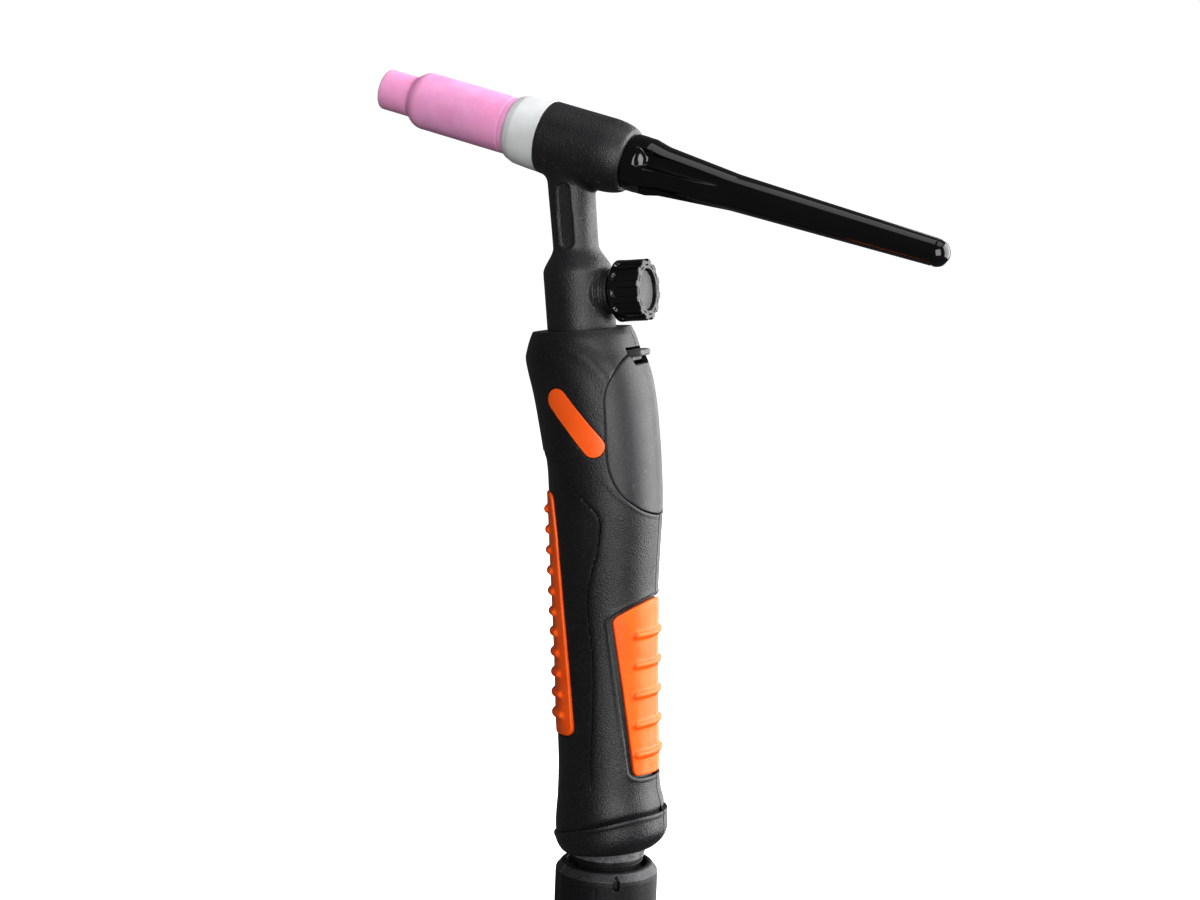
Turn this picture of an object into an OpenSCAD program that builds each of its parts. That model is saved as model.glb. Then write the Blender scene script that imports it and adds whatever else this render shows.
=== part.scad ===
/* [Head] */
// Angle between the neck and the back cap, in degrees
head_angle = 109.5; // [107:0.5:112]
// Height of the head axis above the stud end, where it crosses the neck axis
head_z = 108.7; // [107:0.1:111]
// Radius of the moulded head barrel
barrel_r = 11.9; // [11.5:0.1:12.2]
// Distance from the neck axis to the front face of the barrel
barrel_front = 7.2; // [7:0.1:8]
// Distance from the neck axis to the rear face of the barrel
barrel_rear = 22.7; // [22:0.1:24]

/* [Cup] */
// Length of the ceramic cup
cup_len = 48.3; // [45:0.1:50]
// Radius of the wide part of the cup
cup_r = 9.4; // [9.1:0.1:9.6]
// Radius of the narrow tip of the cup
cup_tip_r = 6.7; // [6.2:0.1:7]
// Radius of the hole in the cup tip
cup_hole_r = 3.2; // [2.6:0.1:4]
// Length of the gasket between cup and barrel
gasket_len = 12.6; // [12:0.1:13.5]

/* [Electrode] */
// Radius of the tungsten electrode
electrode_r = 1.2; // [0.8:0.1:1.2]
// Length of the tungsten electrode
electrode_len = 175; // [150:1:178]

/* [Back cap] */
// Length of the back cap outside the barrel
cap_len = 109.3; // [106:0.1:112]
// Radius of the back cap collar
cap_r = 9.2; // [9:0.1:9.5]
// Radius of the back cap tip
cap_tip_r = 4.4; // [4.2:0.1:4.8]
// Number of flutes on the back cap
cap_flutes = 4; // [3:1:6]

/* [Neck and valve] */
// Radius of the neck
neck_r = 7.4; // [7:0.1:7.8]
// Height of the valve axis above the stud end
valve_z = 60; // [59:0.5:61]
// Radius of the valve housing
housing_r = 11.2; // [11:0.1:11.4]
// Radius of the valve knob
knob_r = 10; // [9.5:0.1:10.4]
// Number of flutes on the valve knob
knob_flutes = 12; // [8:1:16]

/* [Handle] */
// Wall thickness of the handle shells
wall = 2.2; // [2:0.1:2.4]
// How deep the soft pads are set into the shells
pad_depth = 1.2; // [1:0.1:1.3]
// How far the soft pads stand proud of the shells
pad_proud = 0.3; // [0.2:0.1:0.5]
// Number of ribs on each front pad
front_ribs = 11; // [8:1:12]
// Number of ribs on each rear pad
rear_ribs = 5; // [3:1:5]

/* [Knuckle] */
// Radius of the knuckle ball
ball_r = 15; // [14.8:0.1:15]
// Tilt of the knuckle at rest, from the vertical, in degrees
knuckle_tilt = 6.9; // [4:0.1:8]
// Radius of the cable nut
nut_r = 17; // [16.5:0.1:17.3]
// Length of the cable nut
nut_len = 42; // [38:1:48]

/* [Hidden] */

// Curves: large round parts, small round parts, and sides of the handle's cross-section
$fn = 64;
small_fn = 32;
sides = 40;

// Running clearance, clearance between fixed parts, and overlap of cutters
run = 0.06;
gap = 0.1;
cut = 1;

black = "#1b1b1c";
gloss_black = "#0d0d0e";
grey = "#5a5b5d";
orange = "#f0601c";
brass = "#b8923f";
copper = "#b26a42";
rubber = "#2a2a2c";

// Handle stations: height, centre along X, half depth along X, half width along Y
STATIONS = [
    [48.5, 0.0, 15.6, 13.4], [46, 0.0, 17.7, 15.4], [43, 0.0, 18.6, 16.3], [40, 0.3, 19.4, 17.0],
    [35, 1.5, 20.2, 17.6], [29, 2.6, 20.2, 17.7], [20, 3.5, 20.0, 17.6], [5, 4.2, 19.4, 17.1],
    [-10, 3.9, 19.0, 16.7], [-25, 2.6, 18.3, 16.2], [-40, 1.4, 17.6, 15.7], [-60, 0.1, 17.1, 15.3],
    [-80, -1.2, 16.9, 15.3], [-95, -1.9, 16.9, 15.6], [-104, -2.3, 17.3, 16.2], [-110, -2.2, 18.4, 17.2],
    [-116, -2.6, 18.9, 17.6], [-120, -3.0, 18.3, 17.4], [-123, -3.3, 17.0, 16.6],
    [-125.3, -3.7, 15.2, 15.2], [-126, -3.9, 14.2, 14.2]];
top_z = STATIONS[0][0];

// Centre of the knuckle ball, and the handle's own axis there
ball_x = -4;
ball_z = -119.5;
handle_lean = 2.6;
mouth_r = 13.2;
seat_r = 13.4;
seat_low = 7;
seat_high = 13;

// Screws that join the two shells: X and Z of each
SCREWS = [[-11.5, 26], [13, -20], [7.6, -88]];
boss_r = 2.9;
screw_r = 1.25;
screw_head_r = 2.4;
screw_head_y = 9.5;
screw_tip_y = -8;
screw_len = screw_head_y - screw_tip_y;
screw_slot = 0.7;
screw_cross = 3.2;

// Outline of the module cover seen from behind: half width and height
COVER = [[0, 40.4], [6, 39.6], [10, 37.2], [13.3, 33], [14.9, 28.5], [15.4, 22], [15.4, 8],
    [14.8, 1], [13.3, -4.5], [10.6, -8.3], [6.8, -11], [0, -12.6]];
cover_wall = 2;
cover_gap = 0.35;
latch_half = 4;

// Outline of the front pads seen from the side
FRONT_PAD = [[-40, -3.5], [-10.6, -3.5], [-9.4, -6], [-8.9, -18], [-8.5, -42], [-7.8, -68], [-7.5, -80],
    [-8.2, -82.8], [-10.4, -83.8], [-40, -83.8]];
front_rib_top = -9.4;
front_rib_pitch = 6.76;

// Outline of the rear pads seen from the side
REAR_PAD = [[40, -29.5], [20, -39.6], [10, -44.6], [9.2, -45.6], [9.9, -68], [10.9, -95], [11.6, -97],
    [40, -100.8]];
rear_rib_top = -51.2;
rear_rib_pitch = 9.85;

// Badge: both ends seen from the side, half width and thickness
BADGE = [[-3.3, 26.9], [8.3, 11.6]];
badge_half = 3.5;
badge_deep = 0.9;

electrode_tip = 63;
cap_start = barrel_rear;
cap_end = barrel_rear + cap_len;
gasket_front = barrel_front + gasket_len;
cup_front = gasket_front + cup_len;

// Everything on the head is drawn along +Z and then turned on to the head axis
module on_head() translate([0, 0, head_z]) rotate([0, head_angle, 0]) children();

// Everything on the valve is drawn along +Z and then turned on to the valve axis, which is +X
module on_valve() translate([0, 0, valve_z]) rotate([0, 90, 0]) children();

// Everything on the knuckle is drawn downwards from the ball's centre
module on_knuckle() translate([ball_x, 0, ball_z]) rotate([0, knuckle_tilt, 0]) children();

// A straight tube between two heights
module tube(outer, inner, low, high) {
    difference() {
        translate([0, 0, low]) cylinder(r = outer, h = high - low);
        translate([0, 0, low - cut]) cylinder(r = inner, h = high - low + 2 * cut);
    }
}

// A seal of round section around +Z
module o_ring(mid_r, cord_r, z) translate([0, 0, z]) rotate_extrude($fn = small_fn)
    translate([mid_r, 0]) circle(r = cord_r, $fn = small_fn);

// Head and neck ------------------------------------------------------------------------------

core_r = 7.6;
core_front = 5;
core_rear = 20;
housing_top = valve_z + 7;
neck_start = valve_z + 14;
housing_low = 41;
block_r = 8;
block_low = valve_z - 9;
block_high = valve_z + 9;
tube_r = 3.2;
tube_bore = 2.1;
gas_way_r = 1.6;
recess_r = 2.4;
recess_low = 77.2;
recess_high = 93.6;
recess_floor = 6.6;
boss_end = 13;
gland_r = 4.2;
gland_thread_r = 3.5;

module torch_body() color(black) difference() {
    union() {
        on_head() rotate_extrude() polygon([[0, -barrel_front], [barrel_r - 0.8, -barrel_front],
            [barrel_r, 0.8 - barrel_front], [barrel_r, barrel_rear - 8], [barrel_r - 0.6, barrel_rear - 4],
            [barrel_r - 2, barrel_rear - 1.2], [barrel_r - 2, barrel_rear], [0, barrel_rear]]);
        rotate_extrude() polygon([[0, housing_low], [housing_r, housing_low], [housing_r, housing_top],
            [housing_r - 0.6, housing_top + 2.4], [neck_r + 0.6, neck_start - 2], [neck_r, neck_start],
            [neck_r, head_z], [0, head_z]]);
        on_valve() cylinder(r = 6.6, h = boss_end);
    }
    on_head() translate([0, 0, -barrel_front - cut]) cylinder(r = core_r + gap, h = 40);
    translate([0, 0, block_high - cut]) cylinder(r = tube_r + gap, h = head_z - block_high);
    translate([0, 0, block_low - cut]) cylinder(r = block_r + gap, h = block_high - block_low + cut + gap);
    translate([0, 0, housing_low - cut]) cylinder(r = block_r + gap, h = block_low - housing_low + 2 * cut);
    on_valve() cylinder(r = gland_r + 2 * gap, h = boss_end + cut);
    for (side = [-1, 1]) for (z = [recess_low, recess_high])
        translate([0, side * recess_floor, z]) rotate([-90 * side, 0, 0]) cylinder(r = recess_r, h = 5);
    for (side = [-1, 1]) translate([-recess_r, side * (recess_floor + 2.5) - 2.5, recess_low])
        cube([2 * recess_r, 5, recess_high - recess_low]);
}

module head_core() color(brass) difference() {
    union() {
        on_head() tube(core_r, 5.1, -core_front, core_rear);
        translate([0, 0, head_z - 12]) cylinder(r = 3, h = 6);
    }
    translate([0, 0, head_z - 13]) cylinder(r = 1.8, h = 10);
    on_head() translate([0, 0, 6]) cylinder(r = cap_spigot_r + run, h = core_rear);
}

module gas_tube() color(copper) tube(tube_r, tube_bore, block_high + gap, head_z - 12 - gap);

module valve_block() color(brass) difference() {
    union() {
        translate([0, 0, block_low]) cylinder(r = block_r, h = block_high - block_low);
        on_valve() cylinder(r = gland_r, h = 10.9);
    }
    translate([0, 0, block_low - cut]) cylinder(r = gas_way_r, h = block_high - block_low + 2 * cut);
    on_valve() translate([0, 0, 1]) cylinder(r = 2.1 + gap, h = 20);
    on_valve() translate([0, 0, 7]) cylinder(r = gland_thread_r + gap, h = 20);
}

// Power stud: a hexagon against the block, then the plain shank and the thread the cable screws on
stud_r = 4.76;
stud_thread = 14;

module power_stud() color(brass) difference() {
    union() {
        translate([0, 0, 28]) cylinder(r = 7.6, h = block_low - 28 - gap, $fn = 6);
        translate([0, 0, stud_thread]) cylinder(r = 5.6, h = 15);
        cylinder(r = stud_r, h = stud_thread + cut);
    }
    translate([0, 0, -cut]) cylinder(r = gas_way_r, h = block_low + 2 * cut);
}

// Gas valve ----------------------------------------------------------------------------------

knob_back = 14;
knob_front = 24.3;
spindle_r = 2;

module valve_spindle() color(brass) on_valve() rotate_extrude() polygon([[0, 1.6], [0.5, 1.6],
    [spindle_r, 4], [spindle_r, 16], [2.6, 16], [2.6, 21], [0, 21]]);

module spindle_o_ring() color(rubber) on_valve() o_ring(2.85, 0.75, 8.2);

module packing_nut() color(grey) on_valve() difference() {
    union() {
        translate([0, 0, 9.1]) cylinder(r = gland_thread_r, h = 2);
        translate([0, 0, 11]) cylinder(r = gland_r, h = 2.3);
        translate([0, 0, boss_end]) cylinder(r = 4.6, h = 0.6);
    }
    translate([0, 0, 9]) cylinder(r = spindle_r + run, h = 10);
}

module valve_knob() color(gloss_black) on_valve() difference() {
    rotate_extrude() polygon([[2.6, knob_back], [knob_r - 0.6, knob_back], [knob_r, knob_back + 0.8],
        [knob_r - 0.3, knob_front - 0.7], [knob_r - 1, knob_front], [6.7, knob_front],
        [6.7, knob_front - 0.9], [4.6, knob_front - 0.9], [4.6, 21.2], [2.7, 21.2], [2.7, 15.8]]);
    for (i = [0 : knob_flutes - 1]) rotate([0, 0, (i + 0.5) * 360 / knob_flutes])
        translate([knob_r + 0.55, 0, knob_back + 1.6]) cylinder(r = 1.3, h = 20, $fn = small_fn);
}

module knob_disc() color(grey) on_valve() rotate_extrude() polygon([[0, knob_front - 0.8],
    [6.1, knob_front - 0.8], [6.1, knob_front - 0.2], [5.8, knob_front + 0.1], [0, knob_front + 0.1]]);

module knob_screw() color(grey) on_valve() difference() {
    translate([0, 0, 21.3]) cylinder(r = 4, h = 1.6);
    translate([-2.5, -0.4, 22.2]) cube([5, 0.8, 2]);
}

// Front end ----------------------------------------------------------------------------------

cup_thread_r = 5.4;

module collet_body() color(brass) on_head() difference() {
    union() {
        translate([0, 0, -4 - barrel_front]) cylinder(r = 5, h = 12);
        translate([0, 0, -gasket_front + 1]) cylinder(r = 6, h = 9);
        translate([0, 0, -gasket_front - 9]) cylinder(r = cup_thread_r, h = 12);
        translate([0, 0, -gasket_front - 16]) cylinder(r1 = 3.4, r2 = 4.6, h = 8);
    }
    translate([0, 0, -60]) cylinder(r = 1.5, h = 80);
    translate([0, 0, -gasket_front - 11]) cylinder(r = 2.3, h = 60);
    for (a = [0, 90]) rotate([0, 0, a + 45]) translate([0, 0, -gasket_front - 9.6]) rotate([90, 0, 0])
        translate([0, 0, -10]) cylinder(r = 0.8, h = 20, $fn = small_fn);
}

module collet() color(copper) on_head() difference() {
    translate([0, 0, -gasket_front - 10]) cylinder(r = 2.1, h = 37.6);
    translate([0, 0, -gasket_front - 11]) cylinder(r = electrode_r + run, h = 40);
    translate([-5, -0.2, -gasket_front - 11]) cube([10, 0.4, 12]);
}

module electrode() color("#8f9296") on_head() rotate_extrude() polygon([[0, -electrode_tip],
    [0.2, -electrode_tip], [electrode_r, 4 - electrode_tip],
    [electrode_r, electrode_len - electrode_tip], [0, electrode_len - electrode_tip]]);

cup_inner_r = 7.2;

module cup() color("#d987b0") on_head() rotate_extrude() polygon([[cup_hole_r, -cup_front],
    [cup_tip_r - 0.5, -cup_front], [cup_tip_r, 0.5 - cup_front], [cup_tip_r, 10.7 - cup_front],
    [cup_r - 1, 13.9 - cup_front], [cup_r - 0.2, 15.3 - cup_front], [cup_r, 17.2 - cup_front],
    [cup_r, -gasket_front - gap], [cup_thread_r + run, -gasket_front - gap],
    [cup_thread_r + run, -gasket_front - 8],
    [cup_inner_r, -gasket_front - 10], [cup_inner_r, 17.7 - cup_front], [cup_hole_r, 11.7 - cup_front]]);

module cup_gasket() color("#e9e9e4") on_head() rotate_extrude() polygon([[6.1, -gasket_front],
    [cup_r - 0.2, -gasket_front], [cup_r + 1.1, 0.9 - gasket_front], [cup_r + 1.8, 2.6 - gasket_front],
    [barrel_r - 0.1, 6 - gasket_front], [barrel_r, -barrel_front - gap], [6.1, -barrel_front - gap]]);

// Back cap -----------------------------------------------------------------------------------

cap_spigot_r = 6;
cap_bore_r = 2;
cap_waist = cap_start + 37;
cap_waist_r = 5.9;
flute_r = 3;
flute_start = cap_start + 4;
flute_turn = 69;

// Collar and ridges first, then a plain taper with a round end
module back_cap() color(gloss_black) on_head() difference() {
    rotate_extrude() polygon(concat([[cap_spigot_r - 1, cap_start + gap], [cap_r - 0.4, cap_start + gap],
        [cap_r, cap_start + 0.5], [cap_r, cap_start + 7], [cap_r - 1.2, cap_start + 12],
        [cap_r - 1.7, cap_start + 17], [cap_r - 2.3, cap_start + 25], [cap_waist_r, cap_waist]],
        [for (a = [0 : 15 : 90]) [cap_tip_r * cos(a), cap_end - cap_tip_r + cap_tip_r * sin(a)]],
        [[0, cap_end - 4], [cap_bore_r, cap_end - 4], [cap_bore_r, cap_start + 8],
        [cap_spigot_r - 1, cap_start + 8]]));
    for (i = [0 : cap_flutes - 1]) rotate([0, 0, i * 360 / cap_flutes + flute_turn])
        translate([cap_r - 0.5, 0, flute_start]) cylinder(r = flute_r, h = cap_waist + 4 - flute_start);
}

module back_cap_insert() color(brass) on_head() difference() {
    union() {
        translate([0, 0, 8]) cylinder(r = cap_spigot_r, h = cap_start - 8 - 3);
        translate([0, 0, 8]) cylinder(r = 4.9, h = cap_start - gap);
    }
    cylinder(r = 1.6, h = 60);
}

// The cap's thread slides through its seal, which stays in the head's bore
cap_seal_cord = 0.7;
cap_seal_r = cap_spigot_r + 0.85;

module back_cap_o_ring() color(rubber) on_head() o_ring(cap_seal_r, cap_seal_cord, cap_start - 1.6);

// Handle -------------------------------------------------------------------------------------

// Smooth value between two stations, with slopes taken from their neighbours
function blend(a, b, c, d, t) = b + 0.5 * t * (c - a + t * (2 * a - 5 * b + 4 * c - d
    + t * (3 * (b - c) + d - a)));
function station(i) = STATIONS[max(0, min(len(STATIONS) - 1, i))];
function between(i, t) = [for (k = [0 : 3])
    blend(station(i - 1)[k], station(i)[k], station(i + 1)[k], station(i + 2)[k], t)];

// Rings run from the top down, two for each stretch between stations
RINGS = [for (i = [0 : len(STATIONS) - 2]) for (t = [0, 0.5]) between(i, t), station(len(STATIONS) - 1)];

// Solid of the handle's outside, grown or shrunk sideways by grow
module form(grow) {
    rings = len(RINGS);
    points = [for (s = RINGS) for (k = [0 : sides - 1]) let (a = k * 360 / sides)
        [s[1] + (s[2] + grow) * cos(a), (s[3] + grow) * sin(a), s[0]]];
    walls = [for (j = [0 : rings - 2]) for (k = [0 : sides - 1]) let (n = (k + 1) % sides)
        [j * sides + k, j * sides + n, (j + 1) * sides + n, (j + 1) * sides + k]];
    polyhedron(points, concat(walls, [[for (k = [0 : sides - 1]) sides - 1 - k]],
        [[for (k = [0 : sides - 1]) (rings - 1) * sides + k]]));
}

// Keeps a curved moulding in one closed skin
module moulded() resize([0, 0, 0]) children();

// An outline seen from the side, as a block on one side of the middle plane
module side_block(outline, side) translate([0, side > 0 ? 40 : 0, 0]) rotate([90, 0, 0])
    linear_extrude(40) polygon(outline);

// The module cover's outline as a block behind the neck axis
module cover_block(grow) rotate([90, 0, 90]) linear_extrude(40) offset(delta = grow)
    polygon(concat(COVER, [for (i = [len(COVER) - 2 : -1 : 1]) [-COVER[i][0], COVER[i][1]]]));

module badge_block(grow, side) translate([0, side > 0 ? 30 : 0, 0]) rotate([90, 0, 0]) linear_extrude(30)
    hull() for (end = BADGE) translate(end) circle(r = badge_half + grow, $fn = small_fn);

module half_space(side) translate([-60, side > 0 ? 0 : -40, -150]) cube([120, 40, 220]);

// Skin between two depths under the handle's outside
module skin(outer, inner) difference() {
    form(outer);
    form(inner);
}

module shell(side) moulded() difference() {
    intersection() {
        union() {
            difference() {
                form(0);
                translate([0, 0, -wall]) intersection() {
                    form(-wall);
                    translate([-60, -40, -104]) cube([120, 80, 200]);
                }
                translate([0, 0, top_z - 12]) cylinder(r = housing_r + gap, h = 20);
            }
            for (s = SCREWS) intersection() {
                translate([s[0], 20, s[1]]) rotate([90, 0, 0]) cylinder(r = boss_r, h = 40, $fn = 24);
                form(-wall / 2);
            }
        }
        translate([0, side * gap / 2, 0]) half_space(side);
    }
    cover_cut();
    translate([ball_x, 0, ball_z]) rotate([0, handle_lean, 0]) {
        sphere(r = ball_r + 0.15);
        translate([0, 0, -20]) cylinder(r1 = mouth_r + 3.6, r2 = mouth_r, h = 13.6);
        translate([0, 0, -8]) cylinder(r = mouth_r, h = 8);
        translate([0, 0, seat_low]) cylinder(r = seat_r + run, h = seat_high - seat_low + run);
        translate([0, 0, 0]) cylinder(r = 12, h = 22);
    }
    for (s = SCREWS) translate([s[0], 40, s[1]]) rotate([90, 0, 0]) {
        cylinder(r = screw_r + gap, h = 49, $fn = 24);
        cylinder(r = screw_head_r + gap, h = 40 - screw_head_y, $fn = 24);
    }
    pad_cut(FRONT_PAD, side);
    pad_cut(REAR_PAD, side);
    intersection() {
        badge_block(0.15, side);
        skin(cut, -badge_deep);
    }
}

// Room for the cover and for the latch above it
module cover_cut() {
    cover_block(cover_gap);
    translate([15, -latch_half - 2.2, 37]) cube([20, 2 * latch_half + 4.4, 5]);
}

module pad_cut(outline, side) intersection() {
    side_block(outline, side);
    skin(cut * 2, -pad_depth);
}

module handle_left() color(black) shell(-1);
module handle_right() color(black) shell(1);

module handle_screws() color("#8b8d90") for (s = SCREWS) translate([s[0], 0, s[1]]) rotate([-90, 0, 0])
    difference() {
        union() {
            translate([0, 0, screw_tip_y]) cylinder(r = screw_r, h = screw_len + cut, $fn = small_fn);
            translate([0, 0, screw_head_y + gap]) cylinder(r = screw_head_r, h = 2, $fn = small_fn);
        }
        for (slot = [[screw_slot, screw_cross], [screw_cross, screw_slot]])
            translate([-slot[0] / 2, -slot[1] / 2, screw_head_y + 1.2]) cube([slot[0], slot[1], 2]);
    }

module module_cover() color("#3a3b3d") moulded() difference() {
    intersection() {
        skin(0, -cover_wall);
        cover_block(0);
    }
    translate([15, -latch_half - 2.2, 36.4]) cube([20, 2 * latch_half + 4.4, 8]);
    translate([-5, -20, -20]) cube([17, 40, 70]);
}

module cover_latch() color("#8d8f91") difference() {
    union() {
        translate([18.4, -latch_half, 39.2]) cube([5, 2 * latch_half, 1.9]);
        translate([16.4, -latch_half, 37.4]) cube([2.1, 2 * latch_half, 3.7]);
    }
    for (side = [-1, 1]) translate([23.4, side * latch_half, 38]) rotate([0, 0, 45])
        cube([1.6, 1.6, 8], center = true);
}

// Soft pads ----------------------------------------------------------------------------------

// A pad with raised ribs, each rib a slab of a slightly larger form
module pad(outline, side, rib_limit, ribs, rib_top, rib_pitch, rib_w, rib_h) moulded() intersection() {
    union() {
        intersection() {
            offset_block(outline, side, -0.15);
            skin(pad_proud, gap - pad_depth);
        }
        intersection() {
            offset_block(outline, side, -0.6);
            skin(rib_h, -0.5);
            offset_block(rib_limit, side, 0);
            for (i = [0 : ribs - 1]) translate([-60, -40, rib_top - i * rib_pitch - rib_w / 2])
                cube([120, 80, rib_w]);
        }
    }
    translate([0, side * gap / 2, 0]) half_space(side);
}

module offset_block(outline, side, grow) translate([0, side > 0 ? 40 : 0, 0]) rotate([90, 0, 0])
    linear_extrude(40) offset(delta = grow) polygon(outline);

FRONT_RIB_LIMIT = [[-40, 0], [-9, 0], [-9, -90], [-40, -90]];
REAR_RIB_LIMIT = [[40, -30], [13.2, -30], [11.4, -110], [40, -110]];

module front_pad(side) color(orange)
    pad(FRONT_PAD, side, FRONT_RIB_LIMIT, front_ribs, front_rib_top, front_rib_pitch, 2.2, 1.3);
module rear_pad(side) color(orange)
    pad(REAR_PAD, side, REAR_RIB_LIMIT, rear_ribs, rear_rib_top, rear_rib_pitch, 2.4, 1.3);

module front_pad_left() front_pad(-1);
module front_pad_right() front_pad(1);
module rear_pad_left() rear_pad(-1);
module rear_pad_right() rear_pad(1);

module badge(side) color("#ff5500") moulded() intersection() {
    badge_block(0, side);
    skin(-0.2, gap - badge_deep);
}

module badge_left() badge(-1);
module badge_right() badge(1);

// Knuckle ------------------------------------------------------------------------------------

bore_r = 9;
neck_len = 24;
neck_out_r = 10.9;
flange_r = 11.6;

module ball_seat() color(grey) translate([ball_x, 0, ball_z]) rotate([0, handle_lean, 0]) difference() {
    tube(seat_r, 10.4, seat_low, seat_high);
    sphere(r = ball_r + run);
}

// Drawn upside down: +Z here runs down along the cable
module along_cable() on_knuckle() mirror([0, 0, 1]) children();

module knuckle_ball() color(grey) along_cable() difference() {
    union() {
        intersection() {
            sphere(r = ball_r);
            translate([0, 0, -7]) cylinder(r = ball_r + 1, h = 18);
        }
        translate([0, 0, 6]) cylinder(r = flange_r, h = 7);
        translate([0, 0, 12]) cylinder(r = neck_out_r, h = neck_len);
    }
    translate([0, 0, -20]) cylinder(r = bore_r, h = 80);
    translate([0, 0, -12]) cylinder(r1 = 14.5, r2 = bore_r, h = 9);
}

nut_top = 9.6;
nut_edge = nut_top + 2.6;
nut_bore_r = neck_out_r + run;
spigot_r = 14.2;
spigot_len = 12;
notch_turn = 55;

module neck_seal() color(rubber) along_cable() tube(12.4, neck_out_r + run, 13.2, 15.4);

module cable_nut() color(rubber) along_cable() difference() {
    rotate_extrude() polygon([[nut_r - 3.4, nut_top + 0.4], [nut_r - 2.2, nut_top],
        [nut_r - 0.8, nut_top + 0.9], [nut_r, nut_edge], [nut_r, nut_top + nut_len - 1],
        [nut_r - 1, nut_top + nut_len], [spigot_r, nut_top + nut_len],
        [spigot_r, nut_top + nut_len + spigot_len], [nut_bore_r, nut_top + nut_len + spigot_len],
        [nut_bore_r, 18], [12.6, 16]]);
    rotate([0, 0, -notch_turn]) translate([nut_r - 0.5, 0, nut_edge + 1.4]) rotate([0, 90, 0])
        cylinder(r = 1, h = 3, $fn = small_fn);
}

module clamp_ring() color(grey) along_cable()
    tube(spigot_r + 1.6, spigot_r + run, nut_top + nut_len + 4, nut_top + nut_len + 8);

torch_body();
head_core();
gas_tube();
valve_block();
power_stud();
valve_spindle();
spindle_o_ring();
packing_nut();
valve_knob();
knob_disc();
knob_screw();
collet_body();
collet();
electrode();
cup();
cup_gasket();
back_cap();
back_cap_insert();
back_cap_o_ring();
handle_left();
handle_right();
handle_screws();
module_cover();
cover_latch();
front_pad_left();
front_pad_right();
rear_pad_left();
rear_pad_right();
badge_left();
badge_right();
ball_seat();
knuckle_ball();
neck_seal();
cable_nut();
clamp_ring();
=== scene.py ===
import math

import bmesh
import bpy
import numpy as np
from mathutils import Matrix, Vector


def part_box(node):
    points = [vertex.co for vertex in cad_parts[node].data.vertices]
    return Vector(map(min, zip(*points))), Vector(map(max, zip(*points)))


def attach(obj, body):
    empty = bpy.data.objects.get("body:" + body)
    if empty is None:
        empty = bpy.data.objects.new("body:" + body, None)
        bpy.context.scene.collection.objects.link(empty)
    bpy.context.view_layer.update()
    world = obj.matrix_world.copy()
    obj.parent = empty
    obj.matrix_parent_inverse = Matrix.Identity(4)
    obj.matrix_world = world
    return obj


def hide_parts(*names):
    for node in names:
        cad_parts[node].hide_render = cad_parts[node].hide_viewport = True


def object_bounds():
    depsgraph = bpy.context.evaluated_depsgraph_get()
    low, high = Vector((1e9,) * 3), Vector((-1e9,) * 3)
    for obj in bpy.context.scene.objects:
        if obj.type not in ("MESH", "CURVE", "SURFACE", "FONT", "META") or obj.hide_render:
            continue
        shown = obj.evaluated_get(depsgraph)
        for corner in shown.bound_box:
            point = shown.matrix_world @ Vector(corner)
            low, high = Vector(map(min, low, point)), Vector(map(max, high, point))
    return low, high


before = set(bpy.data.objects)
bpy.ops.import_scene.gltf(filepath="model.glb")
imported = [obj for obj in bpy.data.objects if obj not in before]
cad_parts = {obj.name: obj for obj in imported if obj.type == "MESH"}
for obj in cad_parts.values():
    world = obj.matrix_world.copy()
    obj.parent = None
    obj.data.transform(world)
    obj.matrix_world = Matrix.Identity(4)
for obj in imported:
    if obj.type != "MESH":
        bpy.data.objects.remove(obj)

cad_low, cad_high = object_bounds()

MM = 0.001
TURN = 2 * math.pi
# Each half of the handle stops this far from the middle plane
SEAM = 0.05


# ---------------------------------------------------------------------------------------------
# Mesh helpers
# ---------------------------------------------------------------------------------------------

def made(name, points, faces, finish, body, nodes, sharp=35):
    """A closed piece from points in millimetres, riding on a body and standing for CAD nodes."""
    mesh = bpy.data.meshes.new(name)
    mesh.from_pydata((np.asarray(points, float) * MM).tolist(), [], faces)
    work = bmesh.new()
    work.from_mesh(mesh)
    bmesh.ops.remove_doubles(work, verts=work.verts, dist=2e-6)
    bmesh.ops.dissolve_degenerate(work, edges=work.edges, dist=1e-6)
    bmesh.ops.recalc_face_normals(work, faces=work.faces)
    work.to_mesh(mesh)
    work.free()
    mesh.shade_smooth()
    mesh.set_sharp_from_angle(angle=math.radians(sharp))
    piece = bpy.data.objects.new(name, mesh)
    bpy.context.scene.collection.objects.link(piece)
    piece.data.materials.append(finish)
    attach(piece, body)
    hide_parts(*nodes)
    return piece


def grid(rows, columns, wrap_columns=False, wrap_rows=False, start=0):
    """Quads over points stored row by row."""
    i = np.arange(rows if wrap_rows else rows - 1)[:, None]
    j = np.arange(columns if wrap_columns else columns - 1)[None, :]
    below = (i + 1) % rows
    beside = (j + 1) % columns
    hollow_shade = [i * columns + j, i * columns + beside, below * columns + beside, below * columns + j]
    return (np.stack(np.broadcast_arrays(*hollow_shade), -1).reshape(-1, 4) + start).tolist()


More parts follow.
